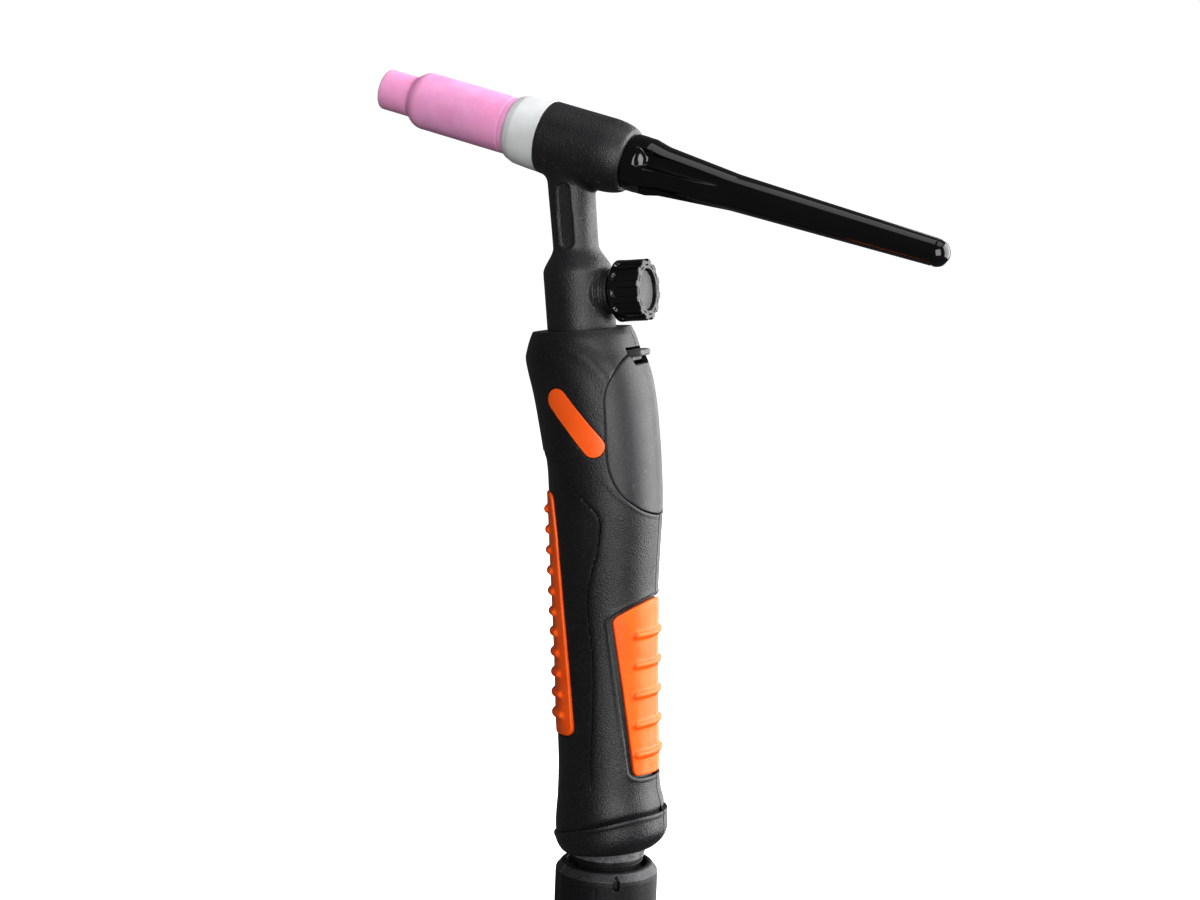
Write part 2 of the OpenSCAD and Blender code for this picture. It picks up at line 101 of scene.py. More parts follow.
def rounded(hollow_shade, steps=6, closed=True):
    """A line through corners (x, y, radius), each one turned into an arc."""
    line = []
    count = len(hollow_shade)
    for i, (x, y, radius) in enumerate(hollow_shade):
        here = np.array((x, y), float)
        if radius == 0 or (not closed and i in (0, count - 1)):
            line.append(here)
            continue
        back = np.array(hollow_shade[i - 1][:2], float) - here
        ahead = np.array(hollow_shade[(i + 1) % count][:2], float) - here
        back_len, ahead_len = np.linalg.norm(back), np.linalg.norm(ahead)
        back, ahead = back / back_len, ahead / ahead_len
        half = math.acos(float(np.clip(back @ ahead, -1, 1))) / 2
        reach = min(radius / math.tan(half), 0.49 * back_len, 0.49 * ahead_len)
        arc_r = reach * math.tan(half)
        middle = (back + ahead) / np.linalg.norm(back + ahead)
        centre = here + middle * arc_r / math.sin(half)
        first = here + back * reach - centre
        last = here + ahead * reach - centre
        way = 1 if first[0] * last[1] - first[1] * last[0] > 0 else -1
        begin = math.atan2(first[1], first[0])
        for k in range(steps + 1):
            angle = begin + way * (math.pi - 2 * half) * k / steps
            line.append(centre + arc_r * np.array((math.cos(angle), math.sin(angle))))
    return np.array(line)


def split_long(line, longest, closed=True):
    """The same line with no stretch longer than this."""
    result = []
    count = len(line)
    for i in range(count if closed else count - 1):
        a, b = line[i], line[(i + 1) % count]
        parts = max(1, math.ceil(np.linalg.norm(b - a) / longest))
        result += [a + (b - a) * k / parts for k in range(parts)]
    if not closed:
        result.append(line[-1])
    return np.array(result)


def turned(profile, segments, shape=None):
    """Points and faces of a profile of (radius, height) turned round +Z; shape may change each radius."""
    angle = np.arange(segments) * TURN / segments
    radius = np.repeat(profile[:, :1], segments, 1)
    height = np.repeat(profile[:, 1:], segments, 1)
    if shape is not None:
        radius, height = shape(radius, height, angle[None, :])
    points = np.stack([radius * np.cos(angle), radius * np.sin(angle), height], -1).reshape(-1, 3)
    return points, grid(len(profile), segments, True, True)


def placed(points, origin, angle, upside_down=False):
    """Points drawn along +Z, turned about Y by an angle in degrees and moved to origin."""
    points = np.array(points, float)
    if upside_down:
        points[:, 2] = -points[:, 2]
    a = math.radians(angle)
    x = points[:, 0] * math.cos(a) + points[:, 2] * math.sin(a)
    z = -points[:, 0] * math.sin(a) + points[:, 2] * math.cos(a)
    return np.stack([x + origin[0], points[:, 1] + origin[1], z + origin[2]], -1)


def smooth(low, high, value):
    """0 below low, 1 above high and an even curve between."""
    t = np.clip((value - low) / (high - low), 0, 1)
    return t * t * (3 - 2 * t)


def outline_distance(px, py, line, closed=True):
    """Distance from each point to a line of points; inside a closed line it is negative."""
    best = np.full(px.shape, 1e9)
    inside = np.zeros(px.shape, bool)
    count = len(line)
    for i in range(count if closed else count - 1):
        (ax, ay), (bx, by) = line[i], line[(i + 1) % count]
        ex, ey = bx - ax, by - ay
        t = np.clip(((px - ax) * ex + (py - ay) * ey) / max(ex * ex + ey * ey, 1e-12), 0, 1)
        best = np.minimum(best, np.hypot(px - ax - t * ex, py - ay - t * ey))
        if closed and ey:
            crosses = ((ay > py) != (by > py)) & (px < ex * (py - ay) / ey + ax)
            inside ^= crosses
    return np.where(inside, -best, best)


# ---------------------------------------------------------------------------------------------
# Materials
# ---------------------------------------------------------------------------------------------

def linear(colour):
    """A screen colour, 0 to 255, as a scene colour; anything else stays as it is."""
    if not isinstance(colour, tuple) or len(colour) != 3:
        return colour
    return tuple(((c / 255 + 0.055) / 1.055) ** 2.4 if c > 10 else c / 255 / 12.92 for c in colour) + (1,)


class Graph:
    """Short calls for building one material's nodes."""

    def __init__(self, name):
        self.material = bpy.data.materials.new(name)
        self.material.use_nodes = True
        self.nodes = self.material.node_tree.nodes
        self.links = self.material.node_tree.links
        self.shader = self.nodes["Principled BSDF"]
        self.place = self.nodes.new("ShaderNodeTexCoord").outputs["Object"]

    def put(self, socket, value):
        if isinstance(value, bpy.types.NodeSocket):
            self.links.new(value, socket)
        elif value is not None:
            socket.default_value = value

    def scaled(self, x, y, z):
        node = self.nodes.new("ShaderNodeMapping")
        self.put(node.inputs["Vector"], self.place)
        node.inputs["Scale"].default_value = (x, y, z)
        return node.outputs["Vector"]

    def noise(self, size_mm, detail=2, rough=0.5, vector=None):
        """Even noise whose marks are about this size."""
        node = self.nodes.new("ShaderNodeTexNoise")
        self.put(node.inputs["Vector"], vector or self.place)
        node.inputs["Scale"].default_value = 1 / (size_mm * MM)
        node.inputs["Detail"].default_value = detail
        node.inputs["Roughness"].default_value = rough
        return node.outputs["Fac"]

    def cells(self, size_mm):
        """Small round dimples of about this size."""
        node = self.nodes.new("ShaderNodeTexVoronoi")
        self.put(node.inputs["Vector"], self.place)
        node.inputs["Scale"].default_value = 1 / (size_mm * MM)
        return node.outputs["Distance"]

    def remap(self, value, low, high, to_low, to_high):
        node = self.nodes.new("ShaderNodeMapRange")
        for socket, number in zip(node.inputs, (value, low, high, to_low, to_high)):
            self.put(socket, number)
        return node.outputs["Result"]

    def maths(self, operation, a, b):
        node = self.nodes.new("ShaderNodeMath")
        node.operation = operation
        self.put(node.inputs[0], a)
        self.put(node.inputs[1], b)
        return node.outputs[0]

    def mix(self, factor, a, b):
        """A blend of two colours, each one a node's output, a screen colour or four scene numbers."""
        node = self.nodes.new("ShaderNodeMix")
        node.data_type = "RGBA"
        self.put(node.inputs[0], factor)
        self.put(node.inputs[6], linear(a))
        self.put(node.inputs[7], linear(b))
        return node.outputs[2]

    def edges(self, low, high):
        """1 on sharp outer edges, from the mesh's own curvature."""
        point = self.nodes.new("ShaderNodeNewGeometry").outputs["Pointiness"]
        return self.remap(point, low, high, 0.0, 1.0)

    def bump(self, height, depth_mm, strength=1.0, under=None):
        node = self.nodes.new("ShaderNodeBump")
        node.inputs["Strength"].default_value = strength
        node.inputs["Distance"].default_value = depth_mm * MM
        self.put(node.inputs["Height"], height)
        if under is not None:
            self.put(node.inputs["Normal"], under)
        return node.outputs["Normal"]

    def finish(self, **values):
        for name, value in values.items():
            self.put(self.shader.inputs[name.replace("_", " ")], value)
        return self.material


def plastic(name, dark, light, rough, grain_mm, grain_depth, specular=0.5, spread=0.06, *, wear,
            patch_mm=14):
    """A moulded plastic: patchy colour, an even fine grain, and edges that have been handled."""
    g = Graph(name)
    grain = g.maths("ADD", g.noise(grain_mm, 3, 0.6), g.cells(grain_mm * 0.8))
    patches = g.noise(patch_mm, 4, 0.6)
    colour = g.mix(g.remap(patches, 0.3, 0.7, 0.0, 1.0), dark, light)
    speckle = g.remap(g.noise(grain_mm * 0.7, 1), 0.35, 0.7, 0.0, 0.45)
    colour = g.mix(speckle, colour, light)
    flecks = g.remap(g.noise(grain_mm * 0.9, 2, 0.7), 0.56, 0.7, 0.0, 0.3)
    colour = g.mix(flecks, colour, wear)
    worn = g.maths("MULTIPLY", g.edges(0.52, 0.62), g.remap(g.noise(2.5, 3), 0.35, 0.65, 0.2, 1.0))
    colour = g.mix(g.maths("MULTIPLY", worn, 0.5), colour, wear)
    roughness = g.remap(g.noise(patch_mm * 0.6, 5, 0.65), 0.25, 0.75, rough - spread, rough + spread)
    coarse = g.bump(g.noise(patch_mm * 0.35, 2), 0.02, 0.35)
    return g.finish(Base_Color=colour, Roughness=roughness, Specular_IOR_Level=specular,
                    Normal=g.bump(grain, grain_depth, 0.9, coarse))


def metal(name, dark, light, rough, brush=(1, 1, 0.06), depth=0.006):
    """A machined metal with fine tool marks, stains and varied gloss."""
    g = Graph(name)
    marks = g.noise(0.35, 3, 0.6, g.scaled(*brush))
    stain = g.noise(5, 5, 0.65)
    colour = g.mix(g.remap(stain, 0.3, 0.7, 0.0, 1.0), dark, light)
    colour = g.mix(g.remap(marks, 0.35, 0.65, 0.0, 0.3), colour, dark)
    roughness = g.remap(g.maths("ADD", marks, stain), 0.6, 1.4, rough - 0.08, rough + 0.12)
    return g.finish(Base_Color=colour, Metallic=1.0, Roughness=roughness, Normal=g.bump(marks, depth, 0.5))


def gloss(name, dark, light, rough):
    """Polished hard plastic: almost even, with faint smears and hair scratches."""
    g = Graph(name)
    smears = g.noise(9, 4, 0.6)
    scratches = g.noise(0.4, 3, 0.6, g.scaled(1, 1, 0.08))
    colour = g.mix(g.remap(smears, 0.3, 0.7, 0.0, 1.0), dark, light)
    roughness = g.remap(g.maths("ADD", smears, scratches), 0.7, 1.3, rough, rough + 0.05)
    return g.finish(Base_Color=colour, Roughness=roughness, Specular_IOR_Level=0.5,
                    Normal=g.bump(scratches, 0.0004, 0.2))


def ceramic(name, dark, light):
    """Fired pink alumina: matt, chalky, with fine pores and small rubbed marks."""
    g = Graph(name)
    pores = g.remap(g.cells(0.45), 0.0, 0.35, 0.0, 1.0)
    blotch = g.noise(6, 5, 0.6)
    colour = g.mix(g.remap(blotch, 0.3, 0.7, 0.0, 1.0), dark, light)
    colour = g.mix(g.remap(g.noise(0.5, 2), 0.55, 0.75, 0.0, 0.3), colour, dark)
    roughness = g.remap(blotch, 0.3, 0.7, 0.5, 0.62)
    grain = g.bump(g.noise(0.3, 3, 0.65), 0.02, 0.5)
    return g.finish(Base_Color=colour, Roughness=roughness, Specular_IOR_Level=0.35,
                    Normal=g.bump(pores, 0.01, 0.3, grain), Subsurface_Weight=0.7,
                    Subsurface_Radius=(1, 0.8, 0.9), Subsurface_Scale=0.006)


def rubbery(name, dark, light, rough, see_through=0.0, grain_mm=0.35, depth=0.02, specular=0.4,
            reach=0.002):
    """A soft moulded plastic: even colour with slow changes, a fine matt skin and painted shade darkening its
    hollows.
    """
    g = Graph(name)
    blotch = g.noise(9, 5, 0.6)
    colour = g.mix(g.remap(blotch, 0.3, 0.7, 0.0, 1.0), dark, light)
    # painted shade: where the mesh bends inwards, in hollows and inner corners, the colour is darkened
    # towards the dark tone
    hollow_shade = g.edges(0.5, 0.42)
    colour = g.mix(g.maths("MULTIPLY", hollow_shade, 0.35), colour, dark)
    specks = g.remap(g.noise(grain_mm, 2), 0.6, 0.75, 0.0, 0.25)
    colour = g.mix(specks, colour, dark)
    roughness = g.remap(g.noise(4, 4, 0.6), 0.3, 0.7, rough - 0.05, rough + 0.07)
    coarse = g.bump(g.noise(3, 2), 0.02, 0.3)
    return g.finish(Base_Color=colour, Roughness=roughness, Specular_IOR_Level=specular,
                    Subsurface_Weight=see_through, Subsurface_Radius=(1, 1, 1), Subsurface_Scale=reach,
                    Normal=g.bump(g.noise(grain_mm, 3, 0.6), depth, 0.6, coarse))


HANDLE = plastic("handle_black", (18, 18, 19), (27, 27, 29), 0.38, 0.55, 0.085, 0.4,
                 wear=(90, 90, 92))
COVER = plastic("cover_grey", (27, 27, 28), (37, 37, 39), 0.4, 0.45, 0.05, 0.45, patch_mm=22,
                wear=(110, 110, 112))
LATCH = plastic("latch_grey", (62, 62, 63), (74, 74, 75), 0.45, 0.4, 0.02,
                wear=(150, 150, 150))
BODY = plastic("body_black", (21, 21, 22), (34, 34, 36), 0.42, 0.6, 0.1, 0.5,
               wear=(90, 90, 92))
NUT = plastic("nut_black", (16, 16, 17), (26, 26, 28), 0.46, 0.5, 0.08, 0.2,
              wear=(80, 80, 82))
KNUCKLE = plastic("knuckle_grey", (44, 44, 46), (112, 112, 114), 0.45, 0.8, 0.08,
                  wear=(150, 150, 152), patch_mm=3)
# painted highlight: the nut's chamfer band is the nut's own dark plastic made lighter, standing in for the
# light the chamfer catches
NUT_BAND_HIGHLIGHT = plastic("nut_band_painted_highlight", (33, 33, 34), (50, 50, 52), 0.42, 0.6, 0.1, 0.4,
               wear=(110, 110, 112), patch_mm=6)
KNOB = gloss("knob_black", (10, 10, 11), (20, 20, 22), 0.12)
KNOB_FACE = plastic("knob_grey", (46, 46, 47), (57, 57, 58), 0.5, 0.35, 0.015,
                    wear=(170, 170, 170), patch_mm=8)
CAP = gloss("cap_black", (7, 7, 8), (12, 12, 14), 0.08)
CUP = ceramic("alumina_pink", (232, 157, 199), (242, 171, 210))
GASKET = rubbery("gasket_white", (206, 208, 208), (222, 224, 224), 0.42, 0.7, 0.5, 0.01, 0.25, 0.006)
PAD = rubbery("pad_orange", (250, 92, 10), (255, 108, 24), 0.42, 0.12)
BADGE = rubbery("badge_orange", (247, 100, 28), (253, 109, 35), 0.34, 0.05, 0.3, 0.008)
SEAL = rubbery("seal_rubber", (34, 34, 36), (52, 52, 54), 0.6)
BRASS = metal("brass", (150, 112, 52), (204, 165, 92), 0.3)
COPPER = metal("copper", (140, 82, 54), (206, 128, 92), 0.32)
STEEL = metal("steel", (110, 111, 113), (176, 178, 180), 0.3)
DARK_STEEL = metal("dark_steel", (58, 58, 60), (102, 102, 105), 0.38)
TUNGSTEN = metal("tungsten", (96, 98, 102), (150, 152, 156), 0.26)

CARRIED = {
    "head_core": BRASS, "gas_tube": COPPER, "valve_block": BRASS, "power_stud": BRASS,
    "valve_spindle": BRASS, "spindle_o_ring": SEAL, "packing_nut": STEEL, "knob_screw": STEEL,
    "collet_body": BRASS, "collet": COPPER, "electrode": TUNGSTEN, "back_cap_insert": BRASS,
    "back_cap_o_ring": SEAL, "ball_seat": NUT, "neck_seal": SEAL,
}
for node_name, finish in CARRIED.items():
    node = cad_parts[node_name]
    node.data.materials.clear()
    node.data.materials.append(finish)


# ---------------------------------------------------------------------------------------------
# Handle: one lofted form that the shells, the cover, the pads and the badges all follow
# ---------------------------------------------------------------------------------------------

# Height, centre along X, half depth along X, half width along Y
STATIONS = [
    [48.5, 0.0, 16.4, 14.6], [46, 0.0, 17.6, 15.6], [43, 0.1, 18.8, 16.4], [40, 0.3, 19.7, 17.0],
    [35, 1.5, 20.2, 17.6], [29, 2.6, 20.2, 17.7], [20, 3.5, 20.0, 17.6], [5, 4.2, 19.4, 17.1],
    [-10, 3.9, 19.0, 16.7], [-25, 2.6, 18.3, 16.2], [-40, 1.4, 17.6, 15.7], [-60, 0.1, 17.1, 15.3],
    [-80, -1.2, 16.9, 15.3], [-95, -1.9, 16.9, 15.6], [-104, -2.3, 17.3, 16.2], [-110, -2.2, 18.4, 17.2],
    [-116, -2.6, 18.9, 17.6], [-119, -2.9, 18.5, 17.5], [-121.3, -3.3, 17.4, 17.0],
    [-122.7, -3.7, 16.2, 16.2], [-123.2, -3.9, 15.6, 15.6]]
WALL = 2.2
OPENING_R = 11.35
OPENING_DEPTH = 3.4
TOP_Z = STATIONS[0][0]
BALL = (-4.0, 0.0, -119.5)
BALL_R = 15.0
MOUTH_R = 15.15
# With what is added at their ends, both totals are one more than a multiple of four
SHELL_ROWS = 549
SHELL_COLUMNS = 143


def between_stations():
    """The stations joined by smooth curves, in small steps from the top down."""
    known = np.array([STATIONS[0]] + STATIONS + [STATIONS[-1]], float)
    steps = np.arange(10)[:, None] / 10
    parts = []
    for a, b, c, d in zip(known, known[1:], known[2:], known[3:]):
        parts.append(b + 0.5 * steps * (c - a + steps * (2 * a - 5 * b + 4 * c - d
                                                         + steps * (3 * (b - c) + d - a))))
    return np.concatenate(parts + [known[-1:]])


LOFT = between_stations()


def loft(z):
    """Centre, half depth and half width at height z."""
    return tuple(np.interp(-z, -LOFT[:, 0], LOFT[:, k]) for k in (1, 2, 3))


def on_handle(angle, z, grow=0.0):
    """Points of the form, with angle 0 at the back and growing towards +Y."""
    centre, depth, width = loft(z)
    return np.stack([centre + (depth + grow) * np.cos(angle), (width + grow) * np.sin(angle), z], -1)


def half_of(points, side):
    """The same points, with those of one half kept just short of the middle plane."""
    points[..., 1] = side * np.maximum(points[..., 1] * side, SEAM)
    return points


def arc_scale(angle, z):
    """Millimetres along the surface for one radian."""
    _, depth, width = loft(z)
    return np.hypot(depth * np.sin(angle), width * np.cos(angle))


def angle_at_x(x, z):
    centre, depth, _ = loft(z)
    return np.arccos(np.clip((x - centre) / depth, -1, 1))


# Cover outline seen from behind: half width and height
COVER_SIDE = [(0, 40.4), (6, 39.6), (10, 37.2), (13.3, 33), (14.9, 28.5), (15.4, 22), (15.4, 8),
              (14.8, 1), (13.3, -4.5), (10.6, -8.3), (6.8, -11), (0, -12.6)]
COVER_GAP = 0.35
# X to which the tray under the cover is cut, and the latch's pocket: half width, ends and X
TRAY_X = 10.6
POCKET_HALF = 6.2
POCKET = (36.4, 42.0)
POCKET_X = 15.0


def curved(points, steps=8):
    """A closed smooth curve through the points."""
    known = np.array(points, float)
    t = np.arange(steps)[:, None] / steps
    parts = []
    for i in range(len(known)):
        a, b, c, d = (known[(i + k) % len(known)] for k in (-1, 0, 1, 2))
        parts.append(b + 0.5 * t * (c - a + t * (2 * a - 5 * b + 4 * c - d + t * (3 * (b - c) + d - a))))
    return np.concatenate(parts)


COVER_LINE = curved(COVER_SIDE + [(-y, z) for y, z in COVER_SIDE[-2:0:-1]])

# Pads and badge seen from the side, with a radius at each corner
REAR_LINE = rounded([(40, -29.5, 0), (20, -39.6, 0), (9.2, -45.2, 2.2), (9.9, -68, 30), (11.1, -97.4, 2.6),
                     (40, -100.8, 0)])
FRONT_LINE = rounded([(-40, -3.5, 0), (-10.2, -3.5, 2.5), (-8.9, -18, 20), (-8.5, -42, 40), (-7.8, -68, 40),
                      (-7.5, -83.8, 3.2), (-40, -83.8, 0)])
BADGE_ENDS = np.array([(-3.3, 26.9), (8.3, 11.6)])
BADGE_HALF = 3.75
REAR_CHANNEL = 1.0
FRONT_CHANNEL = 0.35
BADGE_GAP = 0.25
RECESS = 1.2
BADGE_RECESS = 0.9

# Crease that runs from the front edge round to the side and down the handle: X and Z
CREASE = curved([(-17.2, 9.6), (-12, 7.4), (-8.3, 5.7), (-4.4, 2.6), (-0.3, -2.3), (4.0, -6.6), (7.4, -10.4),
                 (8.2, -14.7), (6.3, -23.3), (3.6, -30.4), (1.9, -36.5), (1.5, -46), (1.7, -58),
                 (0.8, -71.2), (-0.3, -81), (-1.7, -91.6), (-3.3, -102.2)])[:16 * 8 + 1]
# Soft ridge from the top of the side to the cover's upper corner: X and Z
RIDGE = curved([(-4, 46.5), (1.1, 44.1), (5.2, 41.7), (8.9, 38.6), (11.9, 34.9), (13.5, 32.2), (14.2, 28),
                (14.3, 24)])[:7 * 8 + 1]
# Line of the bulb's lip: X and Z
LIP_X = (-21, -6.6, -0.7, 4.5, 9.1, 13.1, 15.9)
LIP_Z = (-117.5, -114.2, -113.2, -112.2, -111.4, -111.0, -111.1)

# Screws that join the halves: X and Z
SCREWS = [(-11.5, 26), (13, -20), (7.6, -88)]
SCREW_HEAD_R = 2.4
SCREW_HEAD_Y = 9.5


def cover_field(angle, z):
    """Distance outside the cover's outline and the latch's pocket; the front of the handle is far off."""
    place = on_handle(angle, z)
    outline = outline_distance(place[..., 1], z, COVER_LINE) - COVER_GAP
    pocket = np.maximum(abs(place[..., 1]) - POCKET_HALF, np.maximum(POCKET[0] - z, z - POCKET[1]))
    field = np.minimum(outline, pocket)
    return np.where(place[..., 0] > loft(z)[0], field, 40.0)


def side_field(line, grow, closed=True):
    """Distance outside an outline seen from the side."""
    def field(angle, z):
        place = on_handle(angle, z)
        return outline_distance(place[..., 0], z, line, closed) - grow
    return field


def badge_field(grow):
    def field(angle, z):
        place = on_handle(angle, z)
        return outline_distance(place[..., 0], z, BADGE_ENDS, False) - BADGE_HALF - grow
    return field


def crease_field(angle, z):
    """Distance from the crease, negative in front of it."""
    x = on_handle(angle, z)[..., 0]
    gap = outline_distance(x, z, CREASE, False)
    by_height = np.interp(-z, -CREASE[:, 1], CREASE[:, 0])
    return np.where(x < by_height, -gap, gap)


def lip_field(angle, z):
    """Height above the bulb's slanted lip, as a negative number."""
    return np.interp(on_handle(angle, z)[..., 0], LIP_X, LIP_Z) - z


def screw_field(angle, z):
    x = on_handle(angle, z)[..., 0]
    field = np.full(x.shape, 40.0)
    for screw_x, screw_z in SCREWS:
        field = np.minimum(field, np.hypot(x - screw_x, z - screw_z) - SCREW_HEAD_R - 0.2)
    return np.where(np.sin(angle) > 0.2, field, 40.0)


def snapped(angle, z, field, cell=0.36):
    """Slides grid points on to the line where field is 0, so that a step along it is clean.

    Returns the angles, the heights, which points now lie on the line, which inside it, and their distance."""
    step = 0.02
    scale = arc_scale(angle, z)
    value = field(angle, z)
    along = (field(angle + step / scale, z) - value) / step
    down = (field(angle, z + step) - value) / step
    slope = np.maximum(np.hypot(along, down), 0.3)
    gap = value / slope
    on_line = abs(gap) < cell / 2
    just_in = (gap <= -cell / 2) & (gap > -1.5 * cell)
    target = np.where(on_line, 0.1 * gap, np.where(just_in, -0.08 + 0.1 * (gap + cell), gap))
    angle = angle + (target - gap) * along / slope / scale
    z = z + (target - gap) * down / slope
    return angle, z, on_line, gap < -cell / 2, gap


def skin(outer, inner):
    """Closed skin from an outer grid of points and an inner one with a quarter of its steps."""
    rows, columns = outer.shape[:2]
    few_rows, few_columns = inner.shape[:2]
    count = rows * columns
    faces = grid(rows, columns)
    faces += [face[::-1] for face in grid(few_rows, few_columns, start=count)]

    def side(outer_ids, inner_ids):
        for k in range(len(inner_ids) - 1):
            strip = list(outer_ids[4 * k:4 * k + 5])
            faces.append(strip + [inner_ids[k + 1], inner_ids[k]])

    out = np.arange(count).reshape(rows, columns)
    under = np.arange(few_rows * few_columns).reshape(few_rows, few_columns) + count
    side(out[0], under[0])
    side(out[-1], under[-1])
    side(out[:, 0], under[:, 0])
    side(out[:, -1], under[:, -1])
    return np.concatenate([outer.reshape(-1, 3), inner.reshape(-1, 3)]), faces


def better_diagonals(faces, level, limit):
    """Splits each of the grid's quads that crosses a step along the diagonal that keeps the step clean."""
    result = []
    for face in faces:
        if len(face) == 4 and max(face) < limit:
            a, b, c, d = face
            if abs(level[a] - level[c]) + abs(level[b] - level[d]) > 0.05:
                if abs(level[a] - level[c]) <= abs(level[b] - level[d]):
                    result += [[a, b, c], [a, c, d]]
                else:
                    result += [[b, c, d], [b, d, a]]
                continue
        result.append(face)
    return result


class Relief:
    """A grid of places on the handle's form, how far in each one lies, and its step for clean diagonals."""

    def __init__(self, angle, z):
        self.angle, self.z = angle, z
        self.inset = np.zeros(angle.shape)
        self.level = np.zeros(angle.shape)

    def x(self):
        return on_handle(self.angle, self.z)[..., 0]

    def snap(self, field):
        """Slides the places on to a line; returns those on it, those inside it and their distance."""
        self.angle, self.z, on_line, inside, gap = snapped(self.angle, self.z, field)
        return on_line, inside, gap


def cut_lip(relief):
    """The bulb's lip: proud below its line, undercut above, and weaker towards the front."""
    _, above, gap = relief.snap(lip_field)
    height = -gap
    toward_back = 0.3 + 0.7 * smooth(-12, 2, relief.x())
    undercut = 0.95 * toward_back * np.exp(-np.maximum(height - 0.3, 0) / 0.8)
    undercut += 0.35 * np.exp(-np.maximum(height, 0) / 4.5)
    proud = 0.3 * np.exp(-((height + 0.6) / 0.8) ** 2) + 0.12
    proud *= smooth(LOFT[-1, 0], -119, relief.z)
    relief.inset += np.where(above, undercut, -proud)
    relief.level -= above


def cut_crease(relief):
    """The crease: a groove along its line, with the surface in front falling away and coming back."""
    fade = smooth(-103, -92, relief.z) * smooth(0, 1.5, 11 - relief.z)
    on_line, front, gap = relief.snap(crease_field)
    ahead = np.maximum(-gap, 0) / 3.5
    relief.inset += fade * np.where(front | on_line, 0.2 + 0.45 * ahead * np.exp(1 - ahead), 0)
    relief.inset += fade * (0.4 * on_line + 0.2 * np.exp(-(gap / 0.9) ** 2))
    relief.level += 0.01 * front


def cut_recesses(relief):
    """Recesses for the pads and the badge, and the fine lip round the rear one; returns their depths."""
    rear = side_field(REAR_LINE, REAR_CHANNEL)
    front = side_field(FRONT_LINE, FRONT_CHANNEL)
    depth = np.full(relief.z.shape, -1.0)
    for field, deep in ((rear, RECESS), (front, RECESS), (badge_field(BADGE_GAP), BADGE_RECESS)):
        on_line, inside, _ = relief.snap(field)
        depth = np.where(inside, deep, depth)
        relief.inset += 0.07 * on_line
        relief.level -= deep * inside
    gap = rear(relief.angle, relief.z)
    relief.inset -= 0.24 * np.exp(-((gap - 0.7) / 0.5) ** 2) * (gap > 0)
    return depth


def cut_cover(relief):
    """The ridge and valley above the cover, a fine lip at its lower edge, and its tray."""
    x = relief.x()
    ridge_gap = outline_distance(x, relief.z, RIDGE, False)
    behind_ridge = x > np.interp(-relief.z, -RIDGE[:, 1], RIDGE[:, 0])
    run_out = smooth(25, 33, relief.z) * smooth(47.5, 39.5, relief.z)
    relief.inset -= 0.45 * run_out * np.exp(-(ridge_gap / 2.2) ** 2)
    relief.inset += 0.75 * run_out * behind_ridge * smooth(0.5, 4.5, ridge_gap)
    gap = cover_field(relief.angle, relief.z)
    relief.inset -= 0.16 * np.exp(-((gap - 0.65) / 0.4) ** 2) * smooth(4, -4, relief.z)
    edge, tray, _ = relief.snap(cover_field)
    relief.inset += 0.08 * edge
    relief.level -= 3 * tray
    return tray


def shell_inside(side, angles, count):
    """The shell's inner wall in rows from the top: an offset of the form, then the ball's socket."""
    socket_z = BALL[2] + np.array([12.0, 8, 4, 0])
    socket_r = np.sqrt((BALL_R + 0.15) ** 2 - (socket_z - BALL[2]) ** 2)
    walls = count - len(socket_z)
    wall_z = np.linspace(TOP_Z - OPENING_DEPTH, -104, walls)
    a, z = np.meshgrid(angles, np.concatenate([wall_z, socket_z]))
    inner = on_handle(a, z, -WALL)
    behind_tray = smooth(2.0, 0.5, cover_field(a, z))
    limit = TRAY_X - 1.2
    inner[..., 0] -= np.maximum(inner[..., 0] - limit, 0) * behind_tray
    ring = np.stack([(OPENING_R + 0.6) * np.cos(a), (OPENING_R + 0.6) * np.sin(a), z], -1)
    inner += (ring - inner) * np.clip((z - 42) / 3.2, 0, 1)[..., None]
    inner[walls:, :, 0] = BALL[0] + socket_r[:, None] * np.cos(angles)
    inner[walls:, :, 1] = socket_r[:, None] * np.sin(angles)
    return half_of(inner, side)


